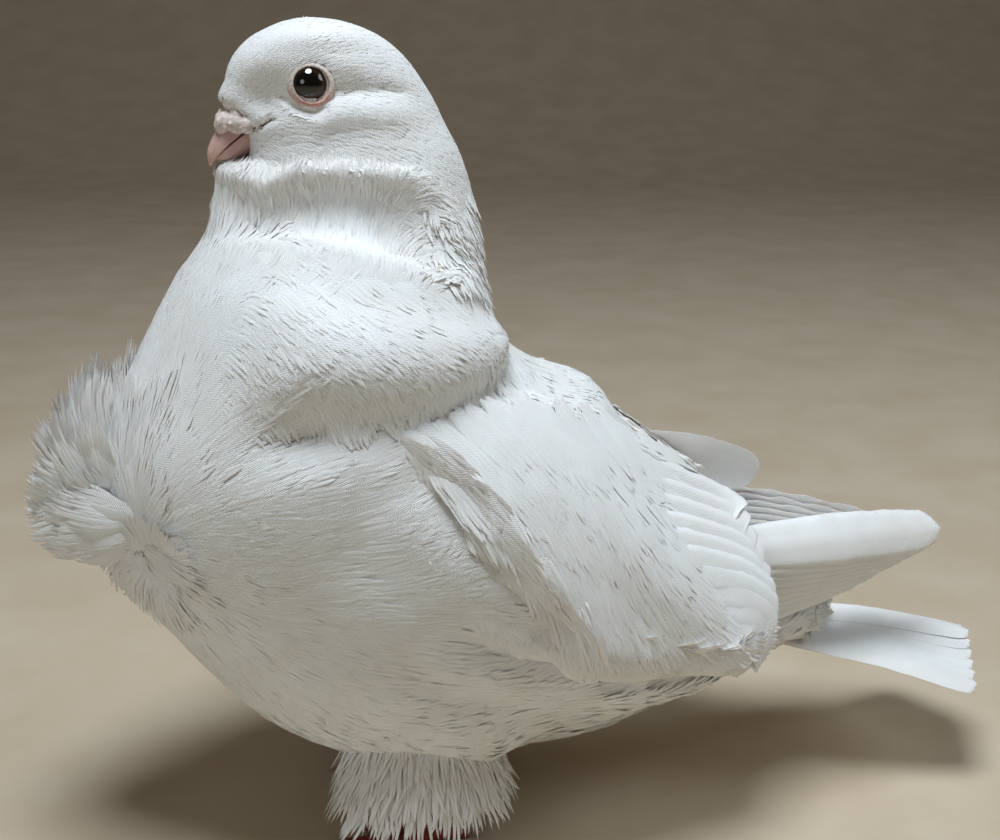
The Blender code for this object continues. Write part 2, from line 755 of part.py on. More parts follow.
def make_wing(side_name, clearances):
    """Wing of one side: a smooth core over the body with its feathers fused on, cut clear of the body."""
    wing = wing_core()
    join(wing, wing_vanes() + ([loose_tertial()] if side_name == "right" else []))
    if side_name == "left":
        right = wing
        wing = mirrored_copy(right, "wing_left")
        bpy.data.objects.remove(right, do_unlink=True)
    return cut(wing, clearances)


def tail_vane(i, side):
    """Tail feather i from the middle pair out: the outer ones lie under the inner ones and reach less far."""
    spread = 2.2 + 3.9 * i
    drop = 0.9 * i + (0.35 if side > 0 else 0)
    root = Vector((66, side * (1.5 + 1.6 * i), 49.5 - 0.8 * drop))
    middle = Vector((97, side * (0.5 * spread + 1.2 * i), 44.6 - drop))
    tip = Vector((133 - 1.0 * i, side * spread, 35.6 - 1.15 * drop))
    widths = (7, 10, 12, 11.5, 6)
    facing = Vector((0.25, side * (0.1 + 0.05 * i), 1))
    return curved_vane("tail feather", (root, middle, tip), widths, facing, 1.3)


def make_tail(clearances):
    """Tail stump with twelve feathers and the coverts over and under their roots."""
    stump = body_length("tail", TAIL_CUT, len(BODY) - 1, 3)
    vanes = [tail_vane(i, side) for i in range(6) for side in (-1, 1)]
    rows = []
    for side in (-1, 1):
        for v in (150, 35):
            rows.append((side, 18.25, v, 0, 21, 14, 0.8, {"profile": LEAF, "thick": 0.7, "sink": 2.2}))
    join(stump, vanes + make_locks(body_surface, rows))
    return cut(stump, clearances)


def thigh_surface_at(side_name):
    """Bell of the thigh's feathers: u from 0 above to 1 near the floor, v in degrees from the front."""
    shape = np.array(((50, 13, 10), (38, 17, 12.5), (27, 20, 14.5), (16, 22, 15.5), (8, 23, 15)), float)

    def surface(u, v):
        kept = min(max(u, 0.0), 1.0)
        z, half_long, half_wide = eased(shape, 4 * kept)
        x = FEET_X[side_name] - 1 - half_long * math.cos(math.radians(v))
        return Vector((x, FOOT_SPREAD + 1.5 + half_wide * math.sin(math.radians(v)), z - 30 * (u - kept)))

    return surface


def make_thigh(side_name, side, clearances):
    """Thigh with its trouser feathers fanning down and out over the foot."""
    surface = thigh_surface_at(side_name)
    axis = Vector((FEET_X[side_name], FOOT_SPREAD, 0))
    rings = []
    for u, share in ((0.0, 1.0), (0.35, 1.0), (0.6, 0.9), (0.72, 0.55)):
        ring = [surface(u, 36 * j) for j in range(10)]
        ring = [Vector((axis.x + (p.x - axis.x) * share, axis.y + (p.y - axis.y) * share, p.z)) for p in ring]
        rings.append([Vector((p.x, side * p.y, p.z)) for p in ring])
    thigh = tube(f"thigh_{side_name}", rings)
    rng = random.Random(41 if side > 0 else 43)
    rows = []
    for tier, (u, count, length, lift) in enumerate(((0.3, 6, 26, 4.0), (0.42, 6, 24, 2.0))):
        for i in range(count):
            v = 360 * (i + 0.5 * tier) / count
            # The inner side has less room between the legs.
            inner = max(0.0, -math.sin(math.radians(v)))
            form = {"profile": LEAF, "thick": 0.75, "keel": False}
            lock_lift = jitter(rng, lift, 0.2) * (1 - 0.75 * inner)
            rows.append((side, u, v, rng.uniform(-8, 8), jitter(rng, length, 0.06), 17, lock_lift, form))
    join(thigh, make_locks(surface, rows))
    return cut(thigh, clearances)


# Toe: heading in degrees from straight back, outwards positive, length, and knuckles.
TOES = (("inner", -152, 17, 2), ("middle", -178, 22, 3), ("outer", 152, 18, 3), ("hind", 8, 11, 1))


def toe_directions(side, heading):
    direction = Vector((math.cos(math.radians(heading)), side * math.sin(math.radians(heading)), 0))
    return direction, Vector((-direction.y, direction.x, 0))


def make_toe(name, start, side, heading, length, knuckles):
    """One toe as a tapered tube with knuckles, its sole flat on the floor."""
    direction, across = toe_directions(side, heading)
    rings = []
    steps = 2 * knuckles + 1
    for i in range(steps):
        f = i / (steps - 1)
        radius = TOE_THICKNESS * (1 - 0.35 * f) * (0.84 if i % 2 else 1.0)
        centre = start + direction * (length * f)
        ring = []
        for j in range(6):
            a = 2 * math.pi * j / 6
            height = max(0.0, radius * 0.85 + radius * math.sin(a))
            ring.append(centre + across * (radius * math.cos(a)) + Vector((0, 0, height)))
        rings.append(ring)
    return tube(name, rings)


def make_claw(name, start, side, heading, toe_length):
    """Short curved claw, a gap beyond the toe's end, its point just off the floor."""
    direction, across = toe_directions(side, heading)
    root = start + direction * (toe_length + GAP)
    rings = []
    for f in (0.0, 0.35, 0.7):
        centre = root + direction * (5.0 * f) + Vector((0, 0, 1.55 + 0.5 * math.sin(math.pi * f) - 0.5 * f))
        radius = 0.95 * (1 - 0.6 * f)
        turned = [2 * math.pi * j / 6 for j in range(6)]
        rings.append(
            [
                centre + across * (radius * math.cos(a)) + Vector((0, 0, radius * 1.1 * math.sin(a)))
                for a in turned
            ]
        )
    tip = root + direction * 5.2 + Vector((0, 0, 0.35))
    return tube(name, rings, pole_end=tip)


def make_leg(side_name, side, thigh):
    """Tarsus and toes as one solid, and its four claws; the thigh is cut clear of it."""
    foot = Vector((FEET_X[side_name], side * FOOT_SPREAD, 0))
    rings = []
    for f in (0.0, 0.2, 0.45, 0.7, 0.9, 1.0):
        centre = foot + Vector((1.5 * f, 0, 1.2 + 15.3 * f))
        radius = TARSUS_RADIUS * (1.25 - 0.35 * math.sin(math.pi * f))
        turned = [2 * math.pi * j / 10 for j in range(10)]
        rings.append([centre + Vector((1.1 * radius * math.cos(a), radius * math.sin(a), 0)) for a in turned])
    leg = tube(f"leg_{side_name}", rings)
    join(leg, [make_toe(f"toe {name}", foot, side, heading, *rest) for name, heading, *rest in TOES])
    claws = [make_claw(f"claw_{row[0]}_{side_name}", foot, side, row[1], row[2]) for row in TOES]
    cut(thigh, [grown(leg, CUT_CLEARANCE)])
    return leg, claws


def material(name, colour, roughness):
    made = bpy.data.materials.new(name)
    made.use_nodes = True
    shader = made.node_tree.nodes["Principled BSDF"]
    shader.inputs["Base Color"].default_value = (*colour, 1)
    shader.inputs["Roughness"].default_value = roughness
    shader.inputs["Metallic"].default_value = 0.0
    return made


def give(pieces, made):
    for piece in pieces:
        piece.data.materials.clear()
        piece.data.materials.append(made)


def main():
    clear_scene()
    plumage = material("white plumage", (0.86, 0.86, 0.84), 0.8)
    bill_horn = material("pale bill horn", (0.72, 0.5, 0.44), 0.45)
    claw_horn = material("claw horn", (0.6, 0.48, 0.42), 0.45)
    eye_dark = material("dark eye", (0.01, 0.008, 0.007), 0.05)
    skin_red = material("red leg scales", (0.55, 0.16, 0.13), 0.55)

    head, eyes, head_core = make_head()
    upper, lower, cere = make_bill(head_core)
    cores = {
        "neck": body_length("neck core", NECK_CUT, BREAST_CUT, 4),
        "breast": body_length("breast core", BREAST_CUT, TORSO_CUT, 7),
        "torso": body_length("torso core", TORSO_CUT, TAIL_CUT, 9),
    }
    neck, breast, torso = (plain_copy(cores[name], name) for name in ("neck", "breast", "torso"))
    locks = {"neck": neck_rows(), "breast": breast_rows(), "torso": torso_rows()}

    def clear_of(*names):
        """Grown copies of the named lengths of body and of their locks."""
        made = []
        for name in names:
            made.append(grown(cores[name] if name != "head" else head_core, CUT_CLEARANCE))
            made += make_locks(body_surface, locks.get(name, ()), CUT_CLEARANCE)
        return made

    join(neck, make_locks(body_surface, locks["neck"]))
    cut(neck, [grown(head_core, CUT_CLEARANCE), grown(cores["breast"], CUT_CLEARANCE)])
    join(breast, make_locks(body_surface, locks["breast"]))
    cut(breast, clear_of("neck") + [grown(cores["torso"], CUT_CLEARANCE)])
    join(torso, make_locks(body_surface, locks["torso"]))
    cut(torso, clear_of("breast"))
    tail = make_tail(clear_of("torso"))
    wings = [make_wing(side_name, clear_of("neck", "breast", "torso")) for side_name, _ in MIRRORED]
    feathered = [head, neck, breast, torso, tail, *wings]
    legs, claws = [], []
    for side_name, side in MIRRORED:
        thigh = make_thigh(side_name, side, clear_of("torso"))
        leg, leg_claws = make_leg(side_name, side, thigh)
        feathered.append(thigh)
        legs.append(leg)
        claws += leg_claws
    for core in cores.values():
        bpy.data.objects.remove(core, do_unlink=True)
    bpy.data.objects.remove(head_core, do_unlink=True)

    for piece in feathered[1:]:
        settle(piece)
    give(feathered, plumage)
    give([upper, lower, cere], bill_horn)
    give(claws, claw_horn)
    give(eyes, eye_dark)
    give(legs, skin_red)


main()
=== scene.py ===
import math

import bmesh
import bpy
import numpy as np
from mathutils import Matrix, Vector
from mathutils.bvhtree import BVHTree


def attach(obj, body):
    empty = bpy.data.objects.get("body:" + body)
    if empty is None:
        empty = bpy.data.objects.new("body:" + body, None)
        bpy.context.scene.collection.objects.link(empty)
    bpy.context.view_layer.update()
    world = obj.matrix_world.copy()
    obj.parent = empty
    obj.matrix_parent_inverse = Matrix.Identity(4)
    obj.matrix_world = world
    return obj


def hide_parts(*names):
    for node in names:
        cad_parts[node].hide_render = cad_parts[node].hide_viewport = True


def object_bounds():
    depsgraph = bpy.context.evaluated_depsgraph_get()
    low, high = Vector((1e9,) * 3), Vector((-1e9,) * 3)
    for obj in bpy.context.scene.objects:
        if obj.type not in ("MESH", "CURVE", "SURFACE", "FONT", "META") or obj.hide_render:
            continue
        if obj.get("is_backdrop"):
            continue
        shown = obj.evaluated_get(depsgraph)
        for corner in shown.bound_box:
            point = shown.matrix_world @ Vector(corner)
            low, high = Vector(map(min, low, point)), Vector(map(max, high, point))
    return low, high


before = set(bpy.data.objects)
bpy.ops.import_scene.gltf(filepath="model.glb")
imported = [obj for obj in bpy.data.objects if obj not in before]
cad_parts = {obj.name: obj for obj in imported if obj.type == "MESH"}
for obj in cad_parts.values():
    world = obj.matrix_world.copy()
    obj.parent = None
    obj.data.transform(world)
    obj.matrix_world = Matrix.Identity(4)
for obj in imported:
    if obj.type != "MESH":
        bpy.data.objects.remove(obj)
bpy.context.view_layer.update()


# Skin: the whole bird plucked, one soft surface from crown to tail stump, with its wing arms and thighs.
# It is thin pinkish skin and pin feathers in life, and shows only as a pale ground between the feathers.
# It keeps the outline of the solids and lies under them by the depth of the coat.
MM = 0.001
# Front x and z, back x and z, half width, and where each ring is widest, from the crown to the tail stump.
# The place along the body, t, counts these rows: 4 the bill's root, 6 the throat, 9 the collar, 12 the keel.
STATIONS = np.array((
    (-58.9, 215.0, -58.9, 215.0, 0.0, 0.50),
    (-70.2, 212.4, -46.2, 212.2, 10.0, 0.50),
    (-77.2, 207.4, -37.8, 206.5, 12.6, 0.50),
    (-80.2, 200.6, -31.2, 197.5, 13.8, 0.52),
    (-79.6, 194.0, -27.2, 189.5, 15.2, 0.55),
    (-76.5, 187.0, -23.2, 181.5, 17.2, 0.55),
    (-76.0, 180.0, -20.2, 171.0, 20.5, 0.50),
    (-79.0, 172.0, -18.7, 160.0, 25.0, 0.50),
    (-83.5, 164.0, -17.2, 148.5, 31.5, 0.50),
    (-93.5, 152.0, -14.7, 139.0, 40.0, 0.50),
    (-106.5, 131.5, -9.7, 131.0, 46.0, 0.50),
    (-116.5, 109.0, -3.1, 126.5, 50.0, 0.50),
    (-115.5, 84.0, 4.0, 123.0, 51.0, 0.48),
    (-99.0, 59.0, 12.2, 116.0, 50.0, 0.46),
    (-72.0, 35.5, 24.0, 105.5, 47.0, 0.46),
    (-34.0, 20.0, 37.0, 94.0, 42.0, 0.50),
    (3.0, 18.0, 49.5, 82.0, 35.0, 0.50),
    (32.0, 27.5, 61.0, 72.0, 26.0, 0.50),
    (56.0, 37.0, 72.5, 62.0, 18.0, 0.50),
    (70.0, 42.0, 79.0, 56.0, 13.0, 0.50),
))
TAIL_STUMP = len(STATIONS) - 1


def eased(rows, t):
    """The rows' values at t, on a smooth curve through the whole rows."""
    last = len(rows) - 1
    i = np.minimum(np.floor(t).astype(int), last - 1)
    f = (t - i)[..., None]
    before, here, after, beyond = (rows[np.clip(i + k, 0, last)] for k in (-1, 0, 1, 2))
    return (
        (2 * f**3 - 3 * f**2 + 1) * here
        + (f**3 - 2 * f**2 + f) * (after - before) / 2
        + (3 * f**2 - 2 * f**3) * after
        + (f**3 - f**2) * (beyond - here) / 2
    )


def ramp(x, low, high):
    """0 below low, 1 above high, smooth between."""
    f = np.clip((x - low) / (high - low), 0, 1)
    return f * f * (3 - 2 * f)


def mound(points, centre, radius):
    """Smooth weight round a point and its mirror image."""
    away = np.stack([points[..., 0] - centre[0], np.abs(points[..., 1]) - centre[1],
                     points[..., 2] - centre[2]], -1)
    return np.exp(-((away / radius) ** 2).sum(-1))


def line_distance(points, line):
    """Distance in the side view from a bent line of x and z."""
    nearest = np.full(points.shape[:-1], 99.0)
    for start, end in zip(np.array(line)[:-1], np.array(line)[1:]):
        away = points[..., ::2] - start
        share = np.clip((away * (end - start)).sum(-1) / ((end - start) ** 2).sum(), 0, 1)
        nearest = np.minimum(nearest, np.linalg.norm(away - share[..., None] * (end - start), axis=-1))
    return nearest


# Bent lines on the face, as x and z in the side view.
UNDER_EYE = (-67.5, 197.2), (-65.0, 195.4), (-62.5, 194.2), (-60.2, 193.8), (-58.8, 194.8)
GAPE = (-77.0, 188.2), (-75.2, 189.3), (-74.0, 190.2), (-72.0, 191.2), (-70.1, 192.4)
CHEEK_EDGE = (-62, -58.2, -56.8, -50.8, -43.2, -36), (193.5, 195.5, 196.3, 197.1, 196.8, 195.5)


def body_form(t, angle):
    """Outline of the feathered body: t along it, angle 0 in front or below, 180 behind, negative on the left."""
    t, angle = np.broadcast_arrays(np.asarray(t, float), np.asarray(angle, float))
    row = eased(STATIONS, np.maximum(t, 1.0))
    front, back, wide, share = row[..., 0:2], row[..., 2:4], row[..., 4], row[..., 5]
    middle = (front + back) / 2
    cap = np.sqrt(np.clip(t, 1e-6, 1))[..., None]
    pole = STATIONS[0, 0:2]
    raised = pole + (middle - pole) * np.clip(t, 0, 1)[..., None]
    front, back = raised + (front - middle) * cap, raised + (back - middle) * cap
    wide = wide * cap[..., 0]
    axis = back - front
    length = np.linalg.norm(axis, axis=-1)
    axis = axis / length[..., None]
    c, s = np.cos(np.radians(angle)), np.sin(np.radians(angle))
    onward = share * length - c * np.where(c > 0, share, 1 - share) * length
    flat = front + axis * onward[..., None]
    points = np.stack([flat[..., 0], s * wide, flat[..., 1]], -1)
    head = ramp(points[..., 2], 168, 174)
    # Hollow before the eye, groove behind it, fold under it, and the cheek that swells below them.
    hollow = 3.2 * mound(points, (-71.8, 10.0, 197.2), (5.5, 7.0, 4.8))
    hollow += 0.6 * mound(points, (-61.0, 13.0, 201.6), 5.0)
    hollow += 1.2 * np.exp(-((line_distance(points, UNDER_EYE) / 0.9) ** 2))
    hollow += 0.7 * np.exp(-((line_distance(points, GAPE) / 0.6) ** 2))
    above = points[..., 2] - np.interp(points[..., 0], *CHEEK_EDGE)
    cheek = 1.1 * np.exp(-(((above + 3.4) / 3.2) ** 2)) - 1.0 * np.exp(-(((above - 1.6) / 1.9) ** 2))
    cheek *= ramp(points[..., 0], -63, -57) * (1 - ramp(points[..., 0], -42, -33))
    cheek += 0.5 * mound(points, (-53.0, 14.5, 204.5), (6.0, 4.0, 2.5))
    points[..., 1] += np.sign(angle) * head * (cheek - hollow)
    return points


def unit(vectors):
    return vectors / np.maximum(np.linalg.norm(vectors, axis=-1, keepdims=True), 1e-9)


def normals_of(points):
    """Unit normals of a grid of points, and its steps along both directions."""
    along = np.gradient(points, axis=0)
    round_ = np.gradient(points, axis=1)
    return unit(np.cross(round_, along)), along, round_


class Form:
    """A surface that feathers follow, kept as a grid of points in millimetres."""

    def __init__(self, points, u_range, v_range, closed=False):
        self.points, self.closed = points, closed
        self.out, along, round_ = normals_of(points)
        self.u0, self.v0 = u_range[0], v_range[0]
        self.du = (u_range[1] - u_range[0]) / (points.shape[0] - 1)
        self.dv = (v_range[1] - v_range[0]) / (points.shape[1] - 1)
        self.along, self.round = along / self.du, round_ / self.dv

    def at(self, u, v):
        """Point, its change with u and with v, and the outward normal."""
        if self.closed:
            v = self.v0 + (v - self.v0) % 360
        x = np.clip((u - self.u0) / self.du, 0, self.points.shape[0] - 1.001)
        y = np.clip((v - self.v0) / self.dv, 0, self.points.shape[1] - 1.001)
        i, j = x.astype(int), y.astype(int)
        f, g = (x - i)[:, None], (y - j)[:, None]
        found = []
        for field in (self.points, self.along, self.round, self.out):
            low = field[i, j] * (1 - g) + field[i, j + 1] * g
            high = field[i + 1, j] * (1 - g) + field[i + 1, j + 1] * g
            found.append(low * (1 - f) + high * f)
        found[3] /= np.maximum(np.linalg.norm(found[3], axis=-1, keepdims=True), 1e-9)
        return found


def fringe_line(v):
    """Where the loose tips of the neck feathers end under the cheek."""
    return np.interp(np.abs(v), (0, 34, 53, 78, 105, 132, 180), (6.2, 6.3, 5.7, 5.5, 5.5, 5.6, 5.8))


def shelf_line(v):
    """Where the collar's upward tips end under the neck."""
    return np.interp(np.abs(v), (0, 33, 58, 80, 102, 122, 150, 180),
                     (8.2, 7.8, 7.45, 7.3, 7.45, 7.6, 7.4, 7.2))


LOBE_EDGE = (45, 64, 84, 104, 120, 136, 160, 170, 180), (10.0, 10.2, 10.1, 10.2, 10.2, 10.15, 9.3, 8.6, 8.5)


def plumage_folds(t, v):
    """How far the lying feathers raise the outline, in mm."""
    v = np.abs(v)
    fringe_at, shelf_at = fringe_line(v), shelf_line(v)
    fringe = 2.0 * ramp(t, fringe_at - 0.3, fringe_at) * (1 - ramp(t, fringe_at + 0.1, fringe_at + 0.9))
    fringe *= 1 - ramp(v, 95, 135)
    neck = -3.0 * ramp(t, fringe_at - 0.05, fringe_at + 1.1) * (1 - ramp(t, shelf_at - 0.3, shelf_at + 0.05))
    neck *= (1 - ramp(v, 95, 138)) * ramp(v, 6, 34)
    # The collar stands out in a shelf where its tips end under the bare-looking neck.
    shelf = 3.2 * ramp(t, shelf_at - 0.12, shelf_at + 0.2) * (1 - ramp(t, 8.9, 10.0))
    shelf *= 1 - ramp(v, 125, 160)
    shelf *= 0.45 + 0.55 * ramp(v, 30, 62)
    # The lobe below the collar hangs over the shoulder and ends in a rounded edge.
    edge_at = np.interp(v, *LOBE_EDGE)
    lobe = 5.0 * ramp(t, 8.4, 9.6) * (1 - ramp(t, edge_at - 0.55, edge_at + 0.3)) * ramp(v, 48, 82)
    lobe *= 1 - ramp(v, 150, 176)
    under = -1.8 * np.exp(-(((t - edge_at - 0.45) / 0.4) ** 2)) * ramp(v, 55, 75) * (1 - ramp(v, 120, 150))
    cleft = -2.6 * np.exp(-(((t - 10.35) / 0.3) ** 2) - ((v - 80) / 7) ** 2)
    # The smooth belly lobe ends in a rounded tongue before the vent, and the flank fills out to the wing.
    tongue_side = np.interp(t, (12.0, 13.8, 14.7, 15.15), (88, 76, 68, 56))
    tongue = 4.2 * ramp(t, 12.6, 14.2) * (1 - ramp(t, 14.95, 15.2))
    tongue *= 1 - ramp(v, tongue_side - 9, tongue_side + 5)
    flank = 4.0 * np.exp(-(((v - 86) / 11) ** 2)) * ramp(t, 12.2, 13.4) * (1 - ramp(t, 16.6, 17.6))
    vent = -3.0 * ramp(t, 15.1, 15.5) * (1 - ramp(t, 17.4, 18.4)) * (1 - ramp(v, 55, 85))
    # Feathers stand up a little over the cere, and the mantle lies thick between the wings.
    forehead = 2.0 * ramp(t, 2.9, 3.7) * (1 - ramp(t, 3.9, 4.25)) * np.exp(-((v / 24) ** 2))
    mantle = 3.6 * np.exp(-(((t - 12.8) / 0.65) ** 2)) * ramp(v, 118, 160)
    return fringe + neck + shelf + lobe + under + cleft + tongue + flank + vent + forehead + mantle


def throat_puff(t, v):
    """Loose throat feathers that stand off the skin under the bill."""
    return 5.0 * ramp(t, 5.5, 6.1) * (1 - ramp(t, 7.3, 8.6)) * np.exp(-((v / 29) ** 2))


T_GRID, V_GRID = np.linspace(0.03, TAIL_STUMP, 500), np.linspace(-180, 180, 361)
grid_t, grid_v = np.meshgrid(T_GRID, V_GRID, indexing="ij")
outline = body_form(grid_t, grid_v)
outline += normals_of(outline)[0] * (plumage_folds(grid_t, grid_v) + throat_puff(grid_t, grid_v))[..., None]
body = Form(outline, (T_GRID[0], T_GRID[-1]), (-180, 180), closed=True)

# Wing: top x, y, z, bottom x, y, z, how far the outside bulges, how deep the inside goes.
WING = np.array((
    (-58, 40, 112, -56, 46, 96, 2, 14),
    (-50, 42, 124, -48, 52, 84, 5, 22),
    (-34, 38, 128, -30, 54, 75, 7, 24),
    (-12, 30, 127, -8, 53, 69, 8, 22),
    (8, 22, 119, 12, 51, 63, 9, 18),
    (27, 16, 107, 32, 46, 58, 8, 12),
    (42, 13, 96, 46, 41, 56, 5, 7),
    (52, 12, 90, 55, 36, 57, 2, 2),
), float)


def wing_form(u, v):
    """Outside of the right wing: u from the shoulder to the coverts' end at 1 and on, v from 0 below to 1."""
    kept, over = np.clip(u, 0, 1), np.clip(v, 0, 1)
    row = eased(WING, (len(WING) - 1) * kept)
    points = row[..., 3:6] + (row[..., 0:3] - row[..., 3:6]) * over[..., None]
    points[..., 1] += row[..., 6] * np.sin(np.pi * over)
    # Past the lower and upper edge the form rolls inwards, so that feathers hang over it.
    past = v - over
    points[..., 2] += 50 * past
    points[..., 1] -= np.where(past < 0, 260, 500) * past**2
    return points + np.array((90.0, -18.0, -20.0)) * (u - kept)[..., None]


def thigh_form(u, v, foot_x):
    """Bell of the right thigh's trousers: u from 0 above to 1 near the floor, v in degrees from the front."""
    shape = np.array(((50, 12, 10), (38, 16, 12.5), (27, 20, 14.5), (16, 23, 16), (7, 26, 17)), float)
    row = eased(shape, 4 * np.clip(u, 0, 1))
    x = foot_x - 1 - row[..., 1] * np.cos(np.radians(v))
    return np.stack([x, FOOT_SPREAD + 1.5 + row[..., 2] * np.sin(np.radians(v)), row[..., 0]], -1)


FEET_X = {"left": -38.0, "right": -33.0}
FOOT_SPREAD = 21.0
SIDES = (("left", -1), ("right", 1))


def new_piece(name, data):
    made = bpy.data.objects.new(name, data)
    bpy.context.scene.collection.objects.link(made)
    return made


def choose(*pieces):
    """Selects these pieces alone, with the first one active."""
    bpy.ops.object.select_all(action="DESELECT")
    for piece in pieces:
        piece.select_set(True)
    bpy.context.view_layer.objects.active = pieces[0]


def lofted(name, rings, endless=False):
    """Closed mesh through rings of points in millimetres, with flat ends, or going on to its first ring."""
    count, sides = rings.shape[:2]
    faces = []
    for i in range(count if endless else count - 1):
        onward = (i + 1) % count
        for j in range(sides):
            k = (j + 1) % sides
            faces.append((i * sides + j, i * sides + k, onward * sides + k, onward * sides + j))
    if not endless:
        faces += [tuple(range(sides)), tuple((count - 1) * sides + j for j in range(sides))]
    mesh = bpy.data.meshes.new(name)
    mesh.from_pydata((rings.reshape(-1, 3) * MM).tolist(), [], faces)
    work = bmesh.new()
    work.from_mesh(mesh)
    bmesh.ops.recalc_face_normals(work, faces=work.faces)
    work.to_mesh(mesh)
    work.free()
    return new_piece(name, mesh)


def apply_modifier(piece, kind, **settings):
    choose(piece)
    modifier = piece.modifiers.new(kind, kind)
    for key, value in settings.items():
        setattr(modifier, key, value)
    bpy.ops.object.modifier_apply(modifier=modifier.name)


def fused(name, parts, voxel, smooth, times):
    """Joins the parts into one closed surface on a fine grid, and smooths its steps."""
    choose(*parts)
    bpy.ops.object.join()
    piece = parts[0]
    piece.name = piece.data.name = name
    apply_modifier(piece, "REMESH", mode="VOXEL", voxel_size=voxel * MM)
    apply_modifier(piece, "SMOOTH", factor=smooth, iterations=times)
    return piece


def finished(piece, material, *solids):
    """Smooth shading and a material for a piece of the still body, which stands for the solids named."""
    choose(piece)
    bpy.ops.object.shade_smooth()
    piece.data.materials.append(material)
    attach(piece, "root")
    if solids:
        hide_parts(*solids)


# How deep the skin lies under the outline, by t.
COAT_DEPTH = (0.0, 5.0, 7.0, 12.0, 19.0), (0.4, 0.5, 0.9, 1.1, 1.1)
skin_depth = np.interp(T_GRID, *COAT_DEPTH)[:, None] + throat_puff(grid_t, grid_v)
skin_rows = (body.points - body.out * skin_depth[..., None])[:, :-1]
parts = [lofted("skin", skin_rows[::4, ::5])]
for side_name, side in SIDES:
    u, v = np.meshgrid(np.linspace(0.02, 0.97, 16), np.linspace(0.04, 0.96, 9), indexing="ij")
    outside = wing_form(u, v) - np.array((0, 1.2, 0))
    depths = eased(WING, (len(WING) - 1) * u)[..., 7] * np.sin(np.pi * v) + 1.0
    inside = outside - np.stack([0 * depths, depths, 0 * depths], -1)
    arm = np.concatenate([outside, inside[:, ::-1]], 1)
    u, v = np.meshgrid(np.linspace(0.0, 0.72, 8), np.arange(0, 360, 15), indexing="ij")
    bell = thigh_form(u, v, FEET_X[side_name])
    axis = np.array((FEET_X[side_name], FOOT_SPREAD, 0))
    slim = np.interp(u[:, :1], (0, 0.35, 0.72), (0.86, 0.8, 0.45))[..., None]
    bell = axis + (bell - axis) * (slim * np.array((1, 1, 0)) + np.array((0, 0, 1)))
    parts += [lofted("arm", arm * (1, side, 1)), lofted("thigh", bell * (1, side, 1))]
skin = fused("skin", parts, 1.3, 0.5, 3)


def linear(hex_colour):
    """Linear colour of an sRGB hex value."""
    parts = [int(hex_colour[i:i + 2], 16) / 255 for i in (1, 3, 5)]
    return (*(c / 12.92 if c <= 0.04045 else ((c + 0.055) / 1.055) ** 2.4 for c in parts), 1)


def new_material(name, **sockets):
    """Principled material; the sockets are named as in the shader, with _ for a space."""
    made = bpy.data.materials.new(name)
    made.use_nodes = True
    shader = made.node_tree.nodes["Principled BSDF"]
    for key, value in sockets.items():
        shader.inputs[key.replace("_", " ")].default_value = value
    return made, shader


def feed(target, **sources):
    """Links a socket to each named input of a node; I or A and a number stand for an input by its number."""
    for key, source in sources.items():
        name = int(key[1:]) if key[1:].isdigit() else key.replace("_", " ")
        target.id_data.links.new(source, target.inputs[name])


def node(material, kind, settings=None, values=None, **sources):
    """Adds a node with its settings and its inputs' values, and feeds its other inputs."""
    made = material.node_tree.nodes.new(kind)
    for key, value in (settings or {}).items():
        setattr(made, key, value)
    for key, value in (values or {}).items():
        made.inputs[key].default_value = value
    feed(made, **sources)
    return made


def two_tones(material, factor, low, high, low_at=0.35, high_at=0.65):
    """Colour that goes from one tone to the other as the factor rises."""
    tones = node(material, "ShaderNodeValToRGB", Fac=factor)
    tones.color_ramp.elements[0].position, tones.color_ramp.elements[0].color = low_at, linear(low)
    tones.color_ramp.elements[1].position, tones.color_ramp.elements[1].color = high_at, linear(high)
    return tones.outputs["Color"]


def place_of(material):
    return node(material, "ShaderNodeTexCoord").outputs["Object"]


# Down-covered skin: matt, warm white, with the fine grain of down about 1 mm apart.
down, shader = new_material("white down over skin", Roughness=0.9)
grain = node(down, "ShaderNodeTexNoise", values={"Scale": 1 / (1.2 * MM), "Detail": 3.0},
             Vector=place_of(down))
bump = node(down, "ShaderNodeBump", values={"Strength": 0.5, "Distance": 0.3 * MM},
            Height=grain.outputs["Fac"])
feed(shader, Base_Color=two_tones(down, grain.outputs["Fac"], "#E4DFD8", "#F2F0EC"),
     Normal=bump.outputs["Normal"])
finished(skin, down, "head", "neck", "breast", "torso", "thigh_left", "thigh_right")


